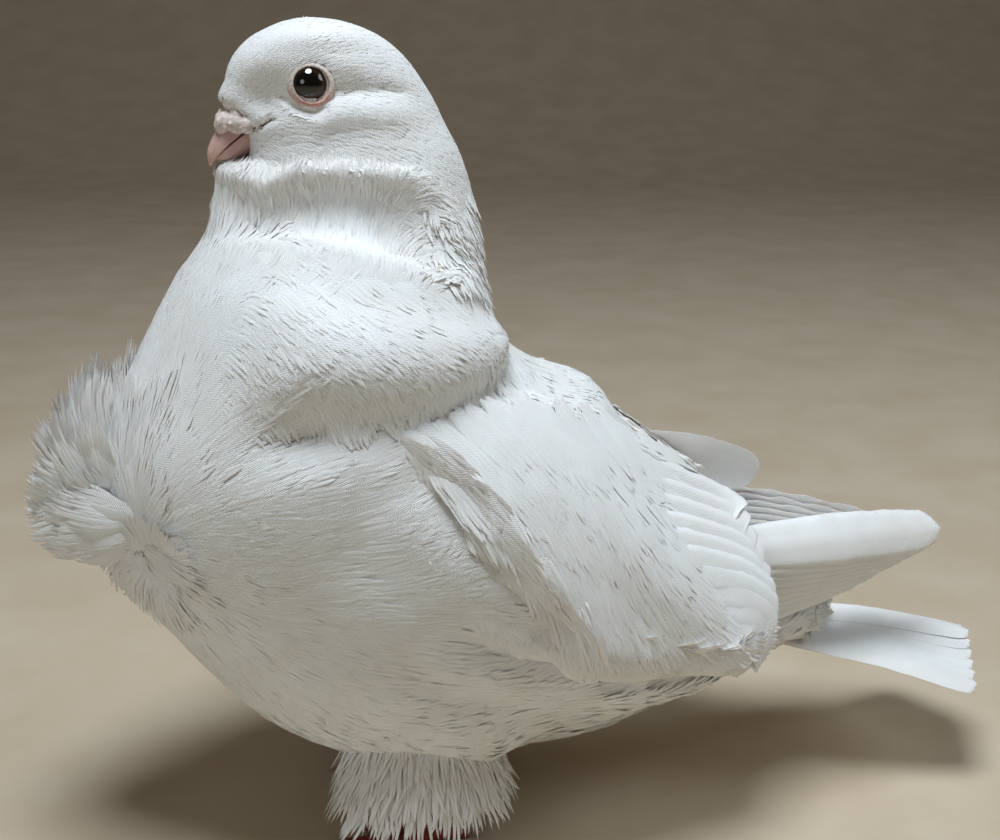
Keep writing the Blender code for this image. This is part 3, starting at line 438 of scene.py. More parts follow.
# Eyes: large, dark bull eyes, each a glossy ball whose clear front bulges a little over the pupil.
# The iris of a white bird is so dark a brown that it reads as black, with a thin brown edge.
EYE_CENTRE = Vector((-61.0, 9.3, 200.4))
EYE_RADIUS = 5.0
eye_glaze, shader = new_material("dark wet eye", Roughness=0.03, IOR=1.38, Coat_Weight=1.0,
                                 Coat_Roughness=0.02)
place = node(eye_glaze, "ShaderNodeAttribute", {"attribute_name": "pupil"}).outputs["Fac"]
feed(shader, Base_Color=two_tones(eye_glaze, place, "#2E1A10", "#040303", 0.3, 0.62))
for side_name, side in SIDES:
    centre = Vector((EYE_CENTRE.x, side * EYE_CENTRE.y, EYE_CENTRE.z))
    bpy.ops.mesh.primitive_uv_sphere_add(segments=48, ring_count=24, radius=EYE_RADIUS * MM,
                                         location=(0, 0, 0))
    eye = bpy.context.active_object
    eye.name = eye.data.name = f"eyeball_{side_name}"
    shades = eye.data.attributes.new("pupil", "FLOAT", "POINT")
    gaze = Vector((-0.22, side, 0.02)).normalized()
    for vertex in eye.data.vertices:
        facing = vertex.co.normalized().dot(gaze)
        bulge = max(0.0, facing - 0.72) / 0.28
        shades.data[vertex.index].value = min(1.0, max(0.0, (facing - 0.60) / 0.4))
        vertex.co *= 1 + 0.045 * bulge
        vertex.co += centre * MM
    finished(eye, eye_glaze, f"eye_{side_name}")


# Eyelids: a thin bare rim of pinkish grey skin round each eye, in two soft folds, wider below.
# The rim rests on the ball, so it is made as rings that spread from the opening onto the face.
def lid_ring_points(radius_x, radius_z, out, side):
    """Ring of points round the eye's opening, on the ball or out on the face."""
    angles = np.radians(np.arange(0, 360, 360 / 40))
    x = EYE_CENTRE.x + radius_x * np.cos(angles)
    z = EYE_CENTRE.z + radius_z * np.sin(angles) - 0.15 * np.cos(angles)
    return np.stack([x, np.full_like(x, side * out), z], -1)


lid_skin, shader = new_material("bare eyelid skin", Roughness=0.5, Subsurface_Weight=0.25,
                                Subsurface_Scale=1.0 * MM)
place = place_of(lid_skin)
wrinkle = node(lid_skin, "ShaderNodeTexNoise", values={"Scale": 1 / (0.6 * MM), "Detail": 2.0}, Vector=place)
# It is pink below the eye and turns pale towards the middle of its height.
height = node(lid_skin, "ShaderNodeSeparateXYZ", Vector=place).outputs["Z"]
reach = {"From Min": (EYE_CENTRE.z - 4.9) * MM, "From Max": (EYE_CENTRE.z + 0.1) * MM}
level = node(lid_skin, "ShaderNodeMapRange", values=reach, Value=height).outputs["Result"]
low_tone = two_tones(lid_skin, wrinkle.outputs["Fac"], "#C08F80", "#D9AFA0")
high_tone = two_tones(lid_skin, wrinkle.outputs["Fac"], "#B9AFA6", "#DCD5CD")
lid_tone = node(lid_skin, "ShaderNodeMix", {"data_type": "RGBA"}, Factor=level, A6=low_tone, A7=high_tone)
bump = node(lid_skin, "ShaderNodeBump", values={"Strength": 0.6, "Distance": 0.15 * MM},
            Height=wrinkle.outputs["Fac"])
feed(shader, Base_Color=lid_tone.outputs[2], Normal=bump.outputs["Normal"])
for side_name, side in SIDES:
    ball = EYE_CENTRE.y
    # Each ring: half length, half height, distance from the middle of the head.
    rows = ((4.0, 3.9, ball + 2.4), (4.0, 3.9, ball + 3.25), (4.2, 4.1, ball + 3.95), (4.5, 4.4, ball + 4.1),
            (4.8, 4.7, ball + 3.85), (5.2, 5.1, ball + 3.7), (5.9, 5.8, ball + 2.7), (5.4, 5.3, ball + 1.2))
    rings = np.stack([lid_ring_points(a, b, out, side) for a, b, out in rows])
    # The lid leans with the head, which is narrower in front and above.
    lean = 0.15 * (rings[..., 0] - EYE_CENTRE.x) - 0.14 * (rings[..., 2] - EYE_CENTRE.z)
    rings[..., 1] += side * lean * ramp(np.arange(len(rows)), 0, 3)[:, None]
    lid = lofted(f"eyelid_{side_name}", rings, endless=True)
    apply_modifier(lid, "SUBSURF", levels=1, render_levels=1)
    finished(lid, lid_skin)


# Bill: very short and deep horn in two halves that meet on a slanting mouth line, pink, with painted shade that
# darkens it towards its root and corner under the cere.
# The upper half hooks a little over the lower. Both are lofts along the bill's own axis, rooted in the face.
BILL_ROOT, BILL_TIP = Vector((-74.5, 0, 190.4)), Vector((-85.8, 0, 181.5))
BILL_UP = Vector((-0.63, 0, 0.777))


def bill_half(name, front, high, low, half_width, hooked):
    """Half of the bill: high and low are measured square to the mouth line."""
    rings = []
    for f in np.linspace(0, 1, 22):
        share = -0.45 + (front + 0.45) * f
        seen = max(0.0, share / front)
        taper = math.sqrt(max(0.0, 1 - seen**2.3)) * 0.93 + 0.05 * (1 - f) + 0.02
        top, bottom = high * (taper if hooked else 1), low * (1 if hooked else taper)
        wide = half_width * taper
        hook = -1.3 * seen**4 if hooked else 0.0
        centre = BILL_ROOT.lerp(BILL_TIP, share) + BILL_UP * (hook + 0.2 * math.sin(math.pi * seen))
        # The cutting edge is nearly flat, so each half is widest close to the mouth line.
        widest = bottom + 0.3 if hooked else top - 0.3
        ring = []
        for j in range(28):
            a = 2 * math.pi * j / 28
            up = math.sin(a)
            squared = math.copysign(abs(math.cos(a)) ** 0.8, math.cos(a))
            level = widest + up * (top - widest if up > 0 else widest - bottom)
            ring.append(centre + BILL_UP * level + Vector((0, squared * wide, 0)))
        rings.append([tuple(p) for p in ring])
    return lofted(name, np.array(rings))


bill_horn, shader = new_material("pink bill horn", Roughness=0.42, Subsurface_Weight=0.2,
                                 Subsurface_Scale=1.5 * MM)
place = place_of(bill_horn)
spots = node(bill_horn, "ShaderNodeTexNoise", values={"Scale": 1 / (3.0 * MM), "Detail": 4.0}, Vector=place)
horn_tone = two_tones(bill_horn, spots.outputs["Fac"], "#C39A92", "#E0BDB2")
# The horn is darkened upwards towards its root as painted shade under the overhanging cere.
height = node(bill_horn, "ShaderNodeSeparateXYZ", Vector=place).outputs["Z"]
reach = {"From Min": (BILL_TIP.z + 2.0) * MM, "From Max": (BILL_ROOT.z + 1.1) * MM}
level = node(bill_horn, "ShaderNodeMapRange", values=reach, Value=height).outputs["Result"]
shade_under_cere_tone = two_tones(bill_horn, level, "#D9B9AE", "#AE8580", 0.2, 0.95)
mixed = node(bill_horn, "ShaderNodeMix", {"data_type": "RGBA"}, {"Factor": 0.55}, A6=horn_tone, A7=shade_under_cere_tone)
bump = node(bill_horn, "ShaderNodeBump", values={"Strength": 0.35, "Distance": 0.15 * MM},
            Height=spots.outputs["Fac"])
feed(shader, Base_Color=mixed.outputs[2], Normal=bump.outputs["Normal"])
upper_bill = bill_half("upper_bill", 1.0, 4.5, -0.35, 4.2, True)
lower_bill = bill_half("lower_bill", 0.88, -0.47, -5.4, 3.9, False)
for piece, cad_node in ((upper_bill, "bill_upper"), (lower_bill, "bill_lower")):
    apply_modifier(piece, "SUBSURF", levels=1, render_levels=1)
    finished(piece, bill_horn, cad_node)


# Cere: two powdery, warty swellings over the nostrils, whitish grey, made of many small lobes.
# The lobes are balls of several sizes pressed together and fused into one lump, as the real one looks.
rng = np.random.default_rng(7)
lobes = [((-79.0, 0.0, 193.3), 2.3), ((-80.6, 0.0, 191.0), 2.2)]
for _, side in SIDES:
    swellings = [
        ((-80.6, side * 2.2, 191.2), 2.6), ((-81.5, side * 1.7, 189.9), 2.0),
        ((-78.0, side * 3.7, 191.0), 2.8), ((-75.8, side * 5.3, 190.6), 2.3),
        ((-77.6, side * 3.4, 193.0), 2.1),
    ]
    lobes += swellings
    for _ in range(36):
        (x, y, z), radius = swellings[rng.integers(5)]
        direction = Vector((rng.uniform(-1, 0.6), side * rng.uniform(0.1, 1),
                            rng.uniform(-0.7, 1))).normalized()
        direction *= radius - 0.25
        lobes.append(((x + direction.x, y + direction.y, z + direction.z), rng.uniform(0.4, 0.7)))
balls = []
for centre, radius in lobes:
    bpy.ops.mesh.primitive_ico_sphere_add(subdivisions=2, radius=radius * MM, location=(0, 0, 0))
    ball = bpy.context.active_object
    for vertex in ball.data.vertices:
        vertex.co += Vector(centre) * MM
    balls.append(ball)
cere = fused("warty_cere", balls, 0.22, 0.5, 5)
wart, shader = new_material("powdery cere skin", Roughness=0.75, Subsurface_Weight=0.2,
                            Subsurface_Scale=1.0 * MM)
powder = node(wart, "ShaderNodeTexNoise", values={"Scale": 1 / (0.9 * MM), "Detail": 4.0},
              Vector=place_of(wart))
bump = node(wart, "ShaderNodeBump", values={"Strength": 0.6, "Distance": 0.15 * MM},
            Height=powder.outputs["Fac"])
feed(shader, Base_Color=two_tones(wart, powder.outputs["Fac"], "#CBBBB4", "#E0D7D2"),
     Normal=bump.outputs["Normal"])
finished(cere, wart, "cere")


# Corners of the mouth: a bare pink line that runs from the bill back under the eye, in a groove, coloured dark
# as painted shade of that groove.
# The skin there is soft and uneven, so the strip swells and thins, and the face feathers close over its end.
gape_skin_painted_shade, shader = new_material("gape skin with painted shade", Roughness=0.5, Subsurface_Weight=0.2, Subsurface_Scale=1.0 * MM)
blotch = node(gape_skin_painted_shade, "ShaderNodeTexNoise", values={"Scale": 1 / (0.8 * MM)}, Vector=place_of(gape_skin_painted_shade))
# The strip's dark pinkish brown is painted shade of the groove, laid over the pink skin.
feed(shader, Base_Color=two_tones(gape_skin_painted_shade, blotch.outputs["Fac"], "#4E3B36", "#7C625A"))
for side_name, side in SIDES:
    f = np.linspace(0, 1, 30)
    spots = eased(np.array(((4.78, 14), (4.65, 22), (4.50, 30), (4.32, 40), (4.12, 47)), float), 4 * f)
    centre, _, _, out = body.at(spots[:, 0], side * spots[:, 1])
    centre = centre - out * 0.15 + np.array((0, 0, 0.18)) * np.sin(f * 34)[:, None]
    ahead = unit(np.gradient(centre, axis=0))
    radius = (0.42 + 0.12 * np.sin(f * 21)) * (1 - 0.75 * f**2)
    turned = np.radians(np.arange(0, 360, 45))
    rings = centre[:, None] + radius[:, None, None] * (
        out[:, None] * np.cos(turned)[:, None] + np.cross(ahead, out)[:, None] * np.sin(turned)[:, None])
    gape = lofted(f"gape_{side_name}", rings)
    apply_modifier(gape, "SUBSURF", levels=1, render_levels=1)
    finished(gape, gape_skin_painted_shade)


# Legs: short red tarsi and four toes each, covered in overlapping scutes, mostly under the trousers.
# Toes are lofts with a swelling at each joint, and their soles lie flat on the floor.
TOES = (("inner", -152, 17, 2), ("middle", -178, 22, 3), ("outer", 152, 18, 3), ("hind", 8, 11, 1))
TARSUS_RADIUS, TOE_THICKNESS = 2.5, 2.3
scaly, shader = new_material("red scaly leg skin", Roughness=0.45, Subsurface_Weight=0.1,
                             Subsurface_Scale=1.0 * MM)
cells = node(scaly, "ShaderNodeTexVoronoi", values={"Scale": 1 / (1.3 * MM)}, Vector=place_of(scaly))
groove = cells.outputs["Distance"]
bump = node(scaly, "ShaderNodeBump", {"invert": True}, {"Strength": 0.7, "Distance": 0.25 * MM},
            Height=groove)
feed(shader, Base_Color=two_tones(scaly, groove, "#B4483C", "#7E2A26", 0.2, 0.75),
     Normal=bump.outputs["Normal"])
claw_horn, shader = new_material("grey-pink claw horn", Roughness=0.35)
streak = node(claw_horn, "ShaderNodeTexNoise", values={"Scale": 1 / (1.5 * MM)}, Vector=place_of(claw_horn))
feed(shader, Base_Color=two_tones(claw_horn, streak.outputs["Fac"], "#8C6C62", "#C9AFA4"))
for side_name, side in SIDES:
    foot = Vector((FEET_X[side_name], side * FOOT_SPREAD, 0))
    parts = []
    rings = []
    for f in np.linspace(0, 1, 24):
        centre = foot + Vector((1.5 * f, 0, 1.2 + 15.3 * f))
        scute = 0.10 * (1 - ((f * 9) % 1))
        radius = TARSUS_RADIUS * (1.25 - 0.35 * math.sin(math.pi * f)) - 0.1 + scute
        turned = np.radians(np.arange(0, 360, 18))
        rings.append([
            tuple(centre + Vector((1.1 * radius * math.cos(a), radius * math.sin(a), 0)))
            for a in turned
        ])
    parts.append(lofted("tarsus", np.array(rings)))
    for toe_name, heading, length, knuckles in TOES:
        direction = Vector((math.cos(math.radians(heading)), side * math.sin(math.radians(heading)), 0))
        across = Vector((-direction.y, direction.x, 0))
        rings = []
        for f in np.linspace(0, 1, 10 * knuckles + 6):
            joint = 0.5 + 0.5 * math.cos(2 * math.pi * knuckles * f)
            radius = TOE_THICKNESS * (1 - 0.35 * f) * (0.86 + 0.12 * joint)
            scute = 0.08 * (1 - ((f * length / 1.6) % 1))
            centre = foot + direction * (length * f)
            ring = []
            for a in np.radians(np.arange(0, 360, 22.5)):
                high = max(0.0, radius * 0.85 + (radius + scute) * math.sin(a))
                ring.append(tuple(centre + across * (radius * math.cos(a)) + Vector((0, 0, high))))
            rings.append(ring)
        parts.append(lofted("toe", np.array(rings)))
        # The claw leaves the toe's end and bends down to the floor.
        root = foot + direction * (length - 0.6)
        rings = []
        for f in np.linspace(0, 1, 12):
            arch = 1.55 + 0.7 * math.sin(math.pi * f) - 1.1 * f
            centre = root + direction * (5.8 * f) + Vector((0, 0, arch))
            radius = 1.0 * (1 - f**1.6) + 0.06
            turned = np.radians(np.arange(0, 360, 30))
            rings.append([
                tuple(centre + across * (0.8 * radius * math.cos(a)) + Vector((0, 0, radius * math.sin(a))))
                for a in turned
            ])
        claw = lofted(f"nail_{toe_name}_{side_name}", np.array(rings))
        finished(claw, claw_horn, f"claw_{toe_name}_{side_name}")
    finished(fused(f"scaly_leg_{side_name}", parts, 0.35, 0.4, 1), scaly, f"leg_{side_name}")


# Head feathers: the shortest of the bird, a few millimetres long, lying back from the bill over the head.
# Here is also how every soft feather is made: a fan of thin barb bundles on a curved line, in a joined mesh.
def scatter(form, region, spacing, rng, keep=None):
    """Places at least the spacing apart over a region (u from, u to, v from, v to), evenly by area."""
    u0, u1, v0, v1 = region
    tries = 60000
    u, v = rng.uniform(u0, u1, tries), rng.uniform(v0, v1, tries)
    points, along, round_, _ = form.at(u, v)
    area = np.linalg.norm(np.cross(along, round_), axis=1)
    chosen = rng.uniform(0, area.max(), tries) < area
    if keep is not None:
        chosen &= keep(u, v, points)
    wide = np.broadcast_to(spacing(u, v, points) if callable(spacing) else spacing, u.shape)
    cells, kept, cell = {}, [], float(wide.max())
    for i in np.nonzero(chosen)[0]:
        x, y, z = points[i]
        key = (int(x // cell), int(y // cell), int(z // cell))
        near = False
        for a in (-1, 0, 1):
            for b in (-1, 0, 1):
                for c in (-1, 0, 1):
                    for p, q, r in cells.get((key[0] + a, key[1] + b, key[2] + c), ()):
                        if (p - x) ** 2 + (q - y) ** 2 + (r - z) ** 2 < wide[i] ** 2:
                            near = True
                            break
        if not near:
            cells.setdefault(key, []).append((x, y, z))
            kept.append(i)
    return u[kept], v[kept]


def lay(form, u, v, lie, length, swing=0.0):
    """Walks a line over the form from each place; notes points, ways across and outwards at each stop."""
    u, v, stops = np.array(u, float), np.array(v, float), 7
    points, across, outward = [], [], []
    for stop in range(stops):
        turn = np.broadcast_to(np.radians(swing), u.shape)[:, None] * (stop / (stops - 1))
        for _ in range(2 if stop else 0):
            here, along, round_, out = form.at(u, v)
            way = lie(u, v, here, along, round_, out)
            way = way * np.cos(turn) + np.cross(out, way) * np.sin(turn)
            stride = (length / (stops - 1) / 2)[:, None] * way
            a, b, c = (along * along).sum(1), (along * round_).sum(1), (round_ * round_).sum(1)
            p, q = (along * stride).sum(1), (round_ * stride).sum(1)
            det = np.maximum(a * c - b * b, 1e-9)
            u += np.clip((p * c - q * b) / det, -0.5, 0.5)
            v += np.clip((a * q - b * p) / det, -25, 25)
            if form.closed:
                v = form.v0 + (v - form.v0) % 360
        here, along, round_, out = form.at(u, v)
        way = lie(u, v, here, along, round_, out)
        way = way * np.cos(turn) + np.cross(out, way) * np.sin(turn)
        points.append(here)
        across.append(np.cross(way, out))
        outward.append(out)
    return np.stack(points, 1), np.stack(across, 1), np.stack(outward, 1)


def lifted(line, sink, lift, power=1.6):
    """Raises a laid line off the surface, the root sunk in and the tip lifted; its frame turns with it."""
    points, across, outward = line
    share = np.linspace(0, 1, points.shape[1])[None, :, None]
    rise = -np.reshape(sink, (-1, 1, 1)) * (1 - share) ** 3 + np.reshape(lift, (-1, 1, 1)) * share**power
    raised = points + outward * rise
    ahead = unit(np.gradient(raised, axis=1))
    side = unit(across - ahead * (across * ahead).sum(-1, keepdims=True))
    return raised, side, np.cross(side, ahead)


def plumes(line, roots, length, width, count, rng, fray=0.14, fan=0.1, camber=0.07, ruffle=0.12, rings=3,
           slim=0.85):
    """Turns each line into a feather of barb bundles; returns points, quads, triangles and both maps."""
    # How thick a bundle is for its half width, and how much shorter the outermost bundles are.
    thick, tip = 0.3, 0.26
    points, across, outward = line
    n, stops = points.shape[:2]
    q = np.append(np.linspace(0, 1, rings) ** 0.8 * 0.86, 1.0)
    wide_at = np.append(np.interp(q[:-1], (0, 0.3, 0.6, 0.86), (0.6, 1.0, 1.0, 0.62)), 0.0)
    # Each bundle of barbs has its place across the vane, and starts and ends a little unevenly along it.
    c = np.linspace(-1, 1, count)[None, :] * 0.92 + rng.uniform(-0.5, 0.5, (n, count)) / count
    start = rng.uniform(0.0, 0.12, (n, count))
    end = 1 - tip * c**2 - fray * rng.uniform(0, 1, (n, count)) ** 1.5
    s = start[..., None] + (end - start)[..., None] * q
    at = np.clip(s * (stops - 1), 0, stops - 1.001)
    i = at.astype(int)
    f = (at - i)[..., None]
    row = np.arange(n)[:, None, None]
    p, a, o = (field[row, i] * (1 - f) + field[row, i + 1] * f for field in (points, across, outward))
    width, length = np.reshape(width, (-1, 1, 1)), np.reshape(length, (-1, 1, 1))
    spread = 0.4 + 0.6 * ramp(s, 0.0, 0.55) + fan * s
    sway = rng.uniform(-1, 1, (n, count, 1)) * 0.04 * length * s**2
    offset = c[..., None] * width / 2 * spread + sway
    height = -camber * c[..., None] ** 2 * width + ruffle * rng.uniform(-1, 1, (n, count, 1)) * s
    p = p + a * offset[..., None] + o * height[..., None]
    half = (width / count * slim * wide_at)[..., None]
    sides = 3 * rings
    ring = np.stack([p - a * half, p + o * half * thick, p + a * half], 3)[:, :, :rings]
    made = np.concatenate([ring.reshape(n * count, sides, 3), p[:, :, rings].reshape(n * count, 1, 3)], 1)
    base = np.arange(n * count)[:, None] * (sides + 1)
    quads = [
        base + np.array([k * 3 + j, k * 3 + (j + 1) % 3, k * 3 + 3 + (j + 1) % 3, k * 3 + 3 + j])
        for k in range(rings - 1) for j in range(3)
    ]
    ends = [base + np.array([sides - 3 + j, sides - 3 + (j + 1) % 3, sides]) for j in range(3)]
    ends.append(base + np.array([2, 1, 0]))
    # The baking map keeps each feather in a small patch round its root; the barb map runs in millimetres.
    patch = np.stack([c[..., None] + 0 * s, s * 2 - 1], -1) * 0.0015
    bake = (roots[:, None, None] + patch)[:, :, :, None, :].repeat(3, 3)
    bake = np.concatenate([bake[:, :, :rings].reshape(-1, sides, 2),
                           bake[:, :, rings, :1].reshape(-1, 1, 2)], 1)
    barb = np.stack([offset + 0 * s, s * length], -1)
    shift = np.array((-1.0, 0.0, 1.0))[:, None] * np.array((1.0, 0.0))
    barbs = barb[:, :, :, None, :] + shift * half[..., None]
    barbs = np.concatenate([barbs[:, :, :rings].reshape(-1, sides, 2),
                            barb[:, :, rings].reshape(-1, 1, 2)], 1)
    faces = np.concatenate(quads), np.concatenate(ends)
    return made.reshape(-1, 3), *faces, bake.reshape(-1, 2), barbs.reshape(-1, 2)


def joined_feathers(name, batches, material, replaced=()):
    """One mesh object of all the batches of feathers."""
    points, quads, triangles, bake, barbs, first = [], [], [], [], [], 0
    for batch in batches:
        points.append(batch[0])
        quads.append(batch[1] + first)
        triangles.append(batch[2] + first)
        bake.append(batch[3])
        barbs.append(batch[4])
        first += len(batch[0])
    points, quads, triangles, bake, barbs = (
        np.concatenate(x) for x in (points, quads, triangles, bake, barbs))
    mesh = bpy.data.meshes.new(name)
    mesh.vertices.add(len(points))
    mesh.vertices.foreach_set("co", (points * MM).ravel())
    loops = np.concatenate([quads.ravel(), triangles.ravel()]).astype(np.int32)
    mesh.loops.add(len(loops))
    mesh.loops.foreach_set("vertex_index", loops)
    mesh.polygons.add(len(quads) + len(triangles))
    starts = np.concatenate([np.arange(len(quads)) * 4, len(quads) * 4 + np.arange(len(triangles)) * 3])
    mesh.polygons.foreach_set("loop_start", starts.astype(np.int32))
    mesh.update(calc_edges=True)
    mesh.polygons.foreach_set("use_smooth", np.ones(len(mesh.polygons), bool))
    mesh.set_sharp_from_angle(angle=math.radians(70))
    for layer, coordinates in (("OFBake", bake), ("Barbs", barbs)):
        mesh.uv_layers.new(name=layer)
        mesh.uv_layers[layer].data.foreach_set("uv", coordinates[loops].astype(np.float32).ravel())
    mesh.uv_layers["OFBake"].active_render = True
    mesh.update()
    made = new_piece(name, mesh)
    mesh.materials.append(material)
    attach(made, "root")
    if replaced:
        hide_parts(*replaced)


def body_unwrap(u, v):
    """Where a place of the body lies on the flat unwrap of the skin."""
    return np.stack([0.02 + 0.64 * (v + 180) / 360, 0.02 + 0.96 * u / TAIL_STUMP], -1)


def wing_unwrap(u, v, side):
    return np.stack([0.70 + 0.27 * np.clip(u, 0, 1.1) / 1.1, (0.28 if side > 0 else 0.02) + 0.22 * v], -1)


def coat(form, region, spacing, lie, length, width, count, lift, rng, keep=None, sink=1.5, swing=6.0,
         power=1.6, unwrap=body_unwrap, mirror=1, **look):
    """Feathers all over a region; sizes are numbers or functions of (u, v, points)."""
    u, v = scatter(form, region, spacing, rng, keep)
    points = form.at(u, v)[0]
    length, width, lift, sink = (
        np.broadcast_to(size(u, v, points) if callable(size) else size, u.shape)
        for size in (length, width, lift, sink)
    )
    length = length * rng.uniform(0.86, 1.14, len(u))
    line = lay(form, u, v, lie, length, rng.normal(0, swing, len(u)))
    line = lifted(line, sink, lift * rng.uniform(0.8, 1.2, len(u)), power)
    made = plumes(line, unwrap(u, v), length, width * rng.uniform(0.9, 1.1, len(u)), count, rng, **look)
    return mirrored(made) if mirror < 0 else made


def mirrored(batch):
    """The same feathers on the bird's other side, with their faces turned outwards again."""
    return batch[0] * (1, -1, 1), batch[1][:, ::-1], batch[2][:, ::-1], batch[3], batch[4]


def feather_material(name, low, high, barb_mm, strength):
    """White feather: matt keratin that scatters light, faintly uneven, with fine barbs along it."""
    made, shader = new_material(name, Roughness=0.62, IOR=1.5, Sheen_Weight=0.15, Sheen_Roughness=0.5,
                                Subsurface_Weight=0.12, Subsurface_Scale=2.0 * MM)
    patches = node(made, "ShaderNodeTexNoise", values={"Scale": 1 / (14 * MM), "Detail": 3.0},
                   Vector=place_of(made))
    barbs = node(made, "ShaderNodeUVMap", {"uv_map": "Barbs"}).outputs["UV"]
    split = node(made, "ShaderNodeSeparateXYZ", Vector=barbs)
    slant = node(made, "ShaderNodeMath", {"operation": "ABSOLUTE"}, I0=split.outputs["X"]).outputs["Value"]
    line = node(made, "ShaderNodeMath", {"operation": "MULTIPLY_ADD"}, {1: -0.9}, I0=slant,
                I2=split.outputs["Y"])
    waves = {1: 2 * math.pi / barb_mm}
    wave = node(made, "ShaderNodeMath", {"operation": "MULTIPLY"}, waves,
                I0=line.outputs["Value"]).outputs["Value"]
    ridge = node(made, "ShaderNodeMath", {"operation": "SINE"}, I0=wave).outputs["Value"]
    bump = node(made, "ShaderNodeBump", values={"Strength": strength, "Distance": 0.06 * MM}, Height=ridge)
    tone = two_tones(made, patches.outputs["Fac"], low, high, 0.3, 0.7)
    feed(shader, Base_Color=tone, Normal=bump.outputs["Normal"])
    return made


soft_feather = feather_material("white contour feather", "#F2EFEA", "#FBFBF9", 0.55, 0.4)
vane_feather = feather_material("white flight feather", "#F3F1EE", "#FCFCFB", 0.75, 0.3)

CERE_AT = np.array((-77.5, 0.0, 190.5))


def head_lie(u, v, here, along, round_, out):
    """Away from the bill, over the crown and back along the cheeks, sinking a little behind the eye."""
    way = unit(here - CERE_AT) + np.array((0.1, 0.0, -0.25)) * ramp(here[:, 0], -70, -45)[:, None]
    return unit(way - out * (way * out).sum(1, keepdims=True))


def outside_face(u, v, points):
    """Keeps feathers off the eyes, the bill and its corner."""
    eye = np.hypot(points[:, 0] - EYE_CENTRE.x, (points[:, 2] - EYE_CENTRE.z) * 1.03) > 5.0
    eye |= np.abs(points[:, 1]) < 5
    bill = (points[:, 0] > -75.6) | (points[:, 2] > 195.4)
    bill |= (np.abs(points[:, 1]) > 5.6) | (points[:, 2] < 182.5)
    mouth = line_distance(points, GAPE) + 0.05 * (points[:, 0] + 75) > 0.5
    return eye & bill & mouth


def head_distance(points):
    return np.clip(np.linalg.norm(points - CERE_AT, axis=1), 3, 60)


rng = np.random.default_rng(3)
for name, region in (("crown_feathers", (0.04, 3.0, -180, 180)), ("cheek_feathers", (3.0, 6.3, -180, 180))):
    batch = coat(
        body, region, lambda u, v, p: 0.65 + 0.012 * head_distance(p), head_lie,
        lambda u, v, p: 2.2 + 0.11 * head_distance(p), lambda u, v, p: 1.2 + 0.032 * head_distance(p),
        4, lambda u, v, p: 0.06 + 0.004 * head_distance(p), rng, outside_face, sink=0.3, swing=5,
        ruffle=0.03, fray=0.3, camber=0.04, slim=1.0,
    )
    joined_feathers(name, [batch], soft_feather)


# Neck ruff: under the cheeks the feathers grow upwards, so that their loose tips stand in a fuzzy fringe.
# Towards the nape they turn outwards and down. They are soft, with hardly any vane, and open in thin strands.
def by_heading(heading):
    """Direction field from a heading: 0 to the tail, 180 to the head, 90 up to the back on both sides."""
    def lie(u, v, here, along, round_, out):
        turn = np.radians(heading(u, np.abs(v)))[:, None]
        ahead = unit(along)
        over = np.cross(ahead, out) * np.where(v < 0, -1, 1)[:, None]
        return ahead * np.cos(turn) + over * np.sin(turn)
    return lie


def blend(first, second, share):
    """Heading that turns from the first to the second, the short way round."""
    a, b = np.radians(first), np.radians(second)
    return np.degrees(np.arctan2(
        np.sin(a) * (1 - share) + np.sin(b) * share, np.cos(a) * (1 - share) + np.cos(b) * share))


def neck_heading(t, v):
    return 180 - 165 * ramp(v, 88, 150) + 0 * t


neck_batch = coat(
    body, (5.2, 8.4, -180, 180), 2.4, by_heading(neck_heading),
    lambda t, v, p: 10 + 4 * ramp(np.abs(v), 90, 150), 6.5, 12, 0.35, rng,
    keep=lambda t, v, p: t > fringe_line(v) + 0.5 - 1.0 * ramp(np.abs(v), 110, 150), sink=0.8, swing=8,
    fray=0.4, fan=0.15, ruffle=0.1, slim=1.05,
)
# Fringe under the cheeks, with the tips standing off.
fringe_batch = coat(
    body, (5.6, 7.6, -160, 160), 2.1, by_heading(neck_heading), 11.0, 5.3, 13, 1.7, rng,
    keep=lambda t, v, p: np.abs(t - fringe_line(v) - 0.75) < 0.33, sink=0.6, swing=10, fray=0.4, fan=0.3,
    ruffle=0.25, power=2.4, rings=4, slim=0.9,
)
# Nape: loose tips that stand out backwards and down from the ruff.
nape_batch = coat(
    body, (5.4, 8.0, -180, 180), 2.8, by_heading(lambda t, v: 12 + 0 * t), 14.0, 7.5, 14, 1.7, rng,
    keep=lambda t, v, p: (np.abs(v) > 122) & (t < shelf_line(v) - 0.05), sink=0.6, swing=14, fray=0.4,
    fan=0.2, ruffle=0.15, power=3.0, rings=4, slim=1.05,
)
joined_feathers("neck_feathers", [neck_batch], soft_feather)
joined_feathers("ruff_feathers", [fringe_batch, nape_batch], soft_feather)


# Collar and shoulder lobe: dense feathers that rise in front to the collar's edge, and sweep back beside it.
# The side ones pile up in a thick lobe that hangs over the shoulder, their fine tips bent down at its edge.
# The coat also runs on over the front of each wing, as far as the scapulars that drape over it from the back.
def edge_of_drape(v):
    """Front edge of the scapular drape, along the wing, for each height on the wing."""
    across = (0.05, 0.2, 0.37, 0.45, 0.61, 0.71, 0.87, 1.0)
    return np.interp(v, across, (0.42, 0.36, 0.32, 0.29, 0.27, 0.22, 0.15, 0.12))


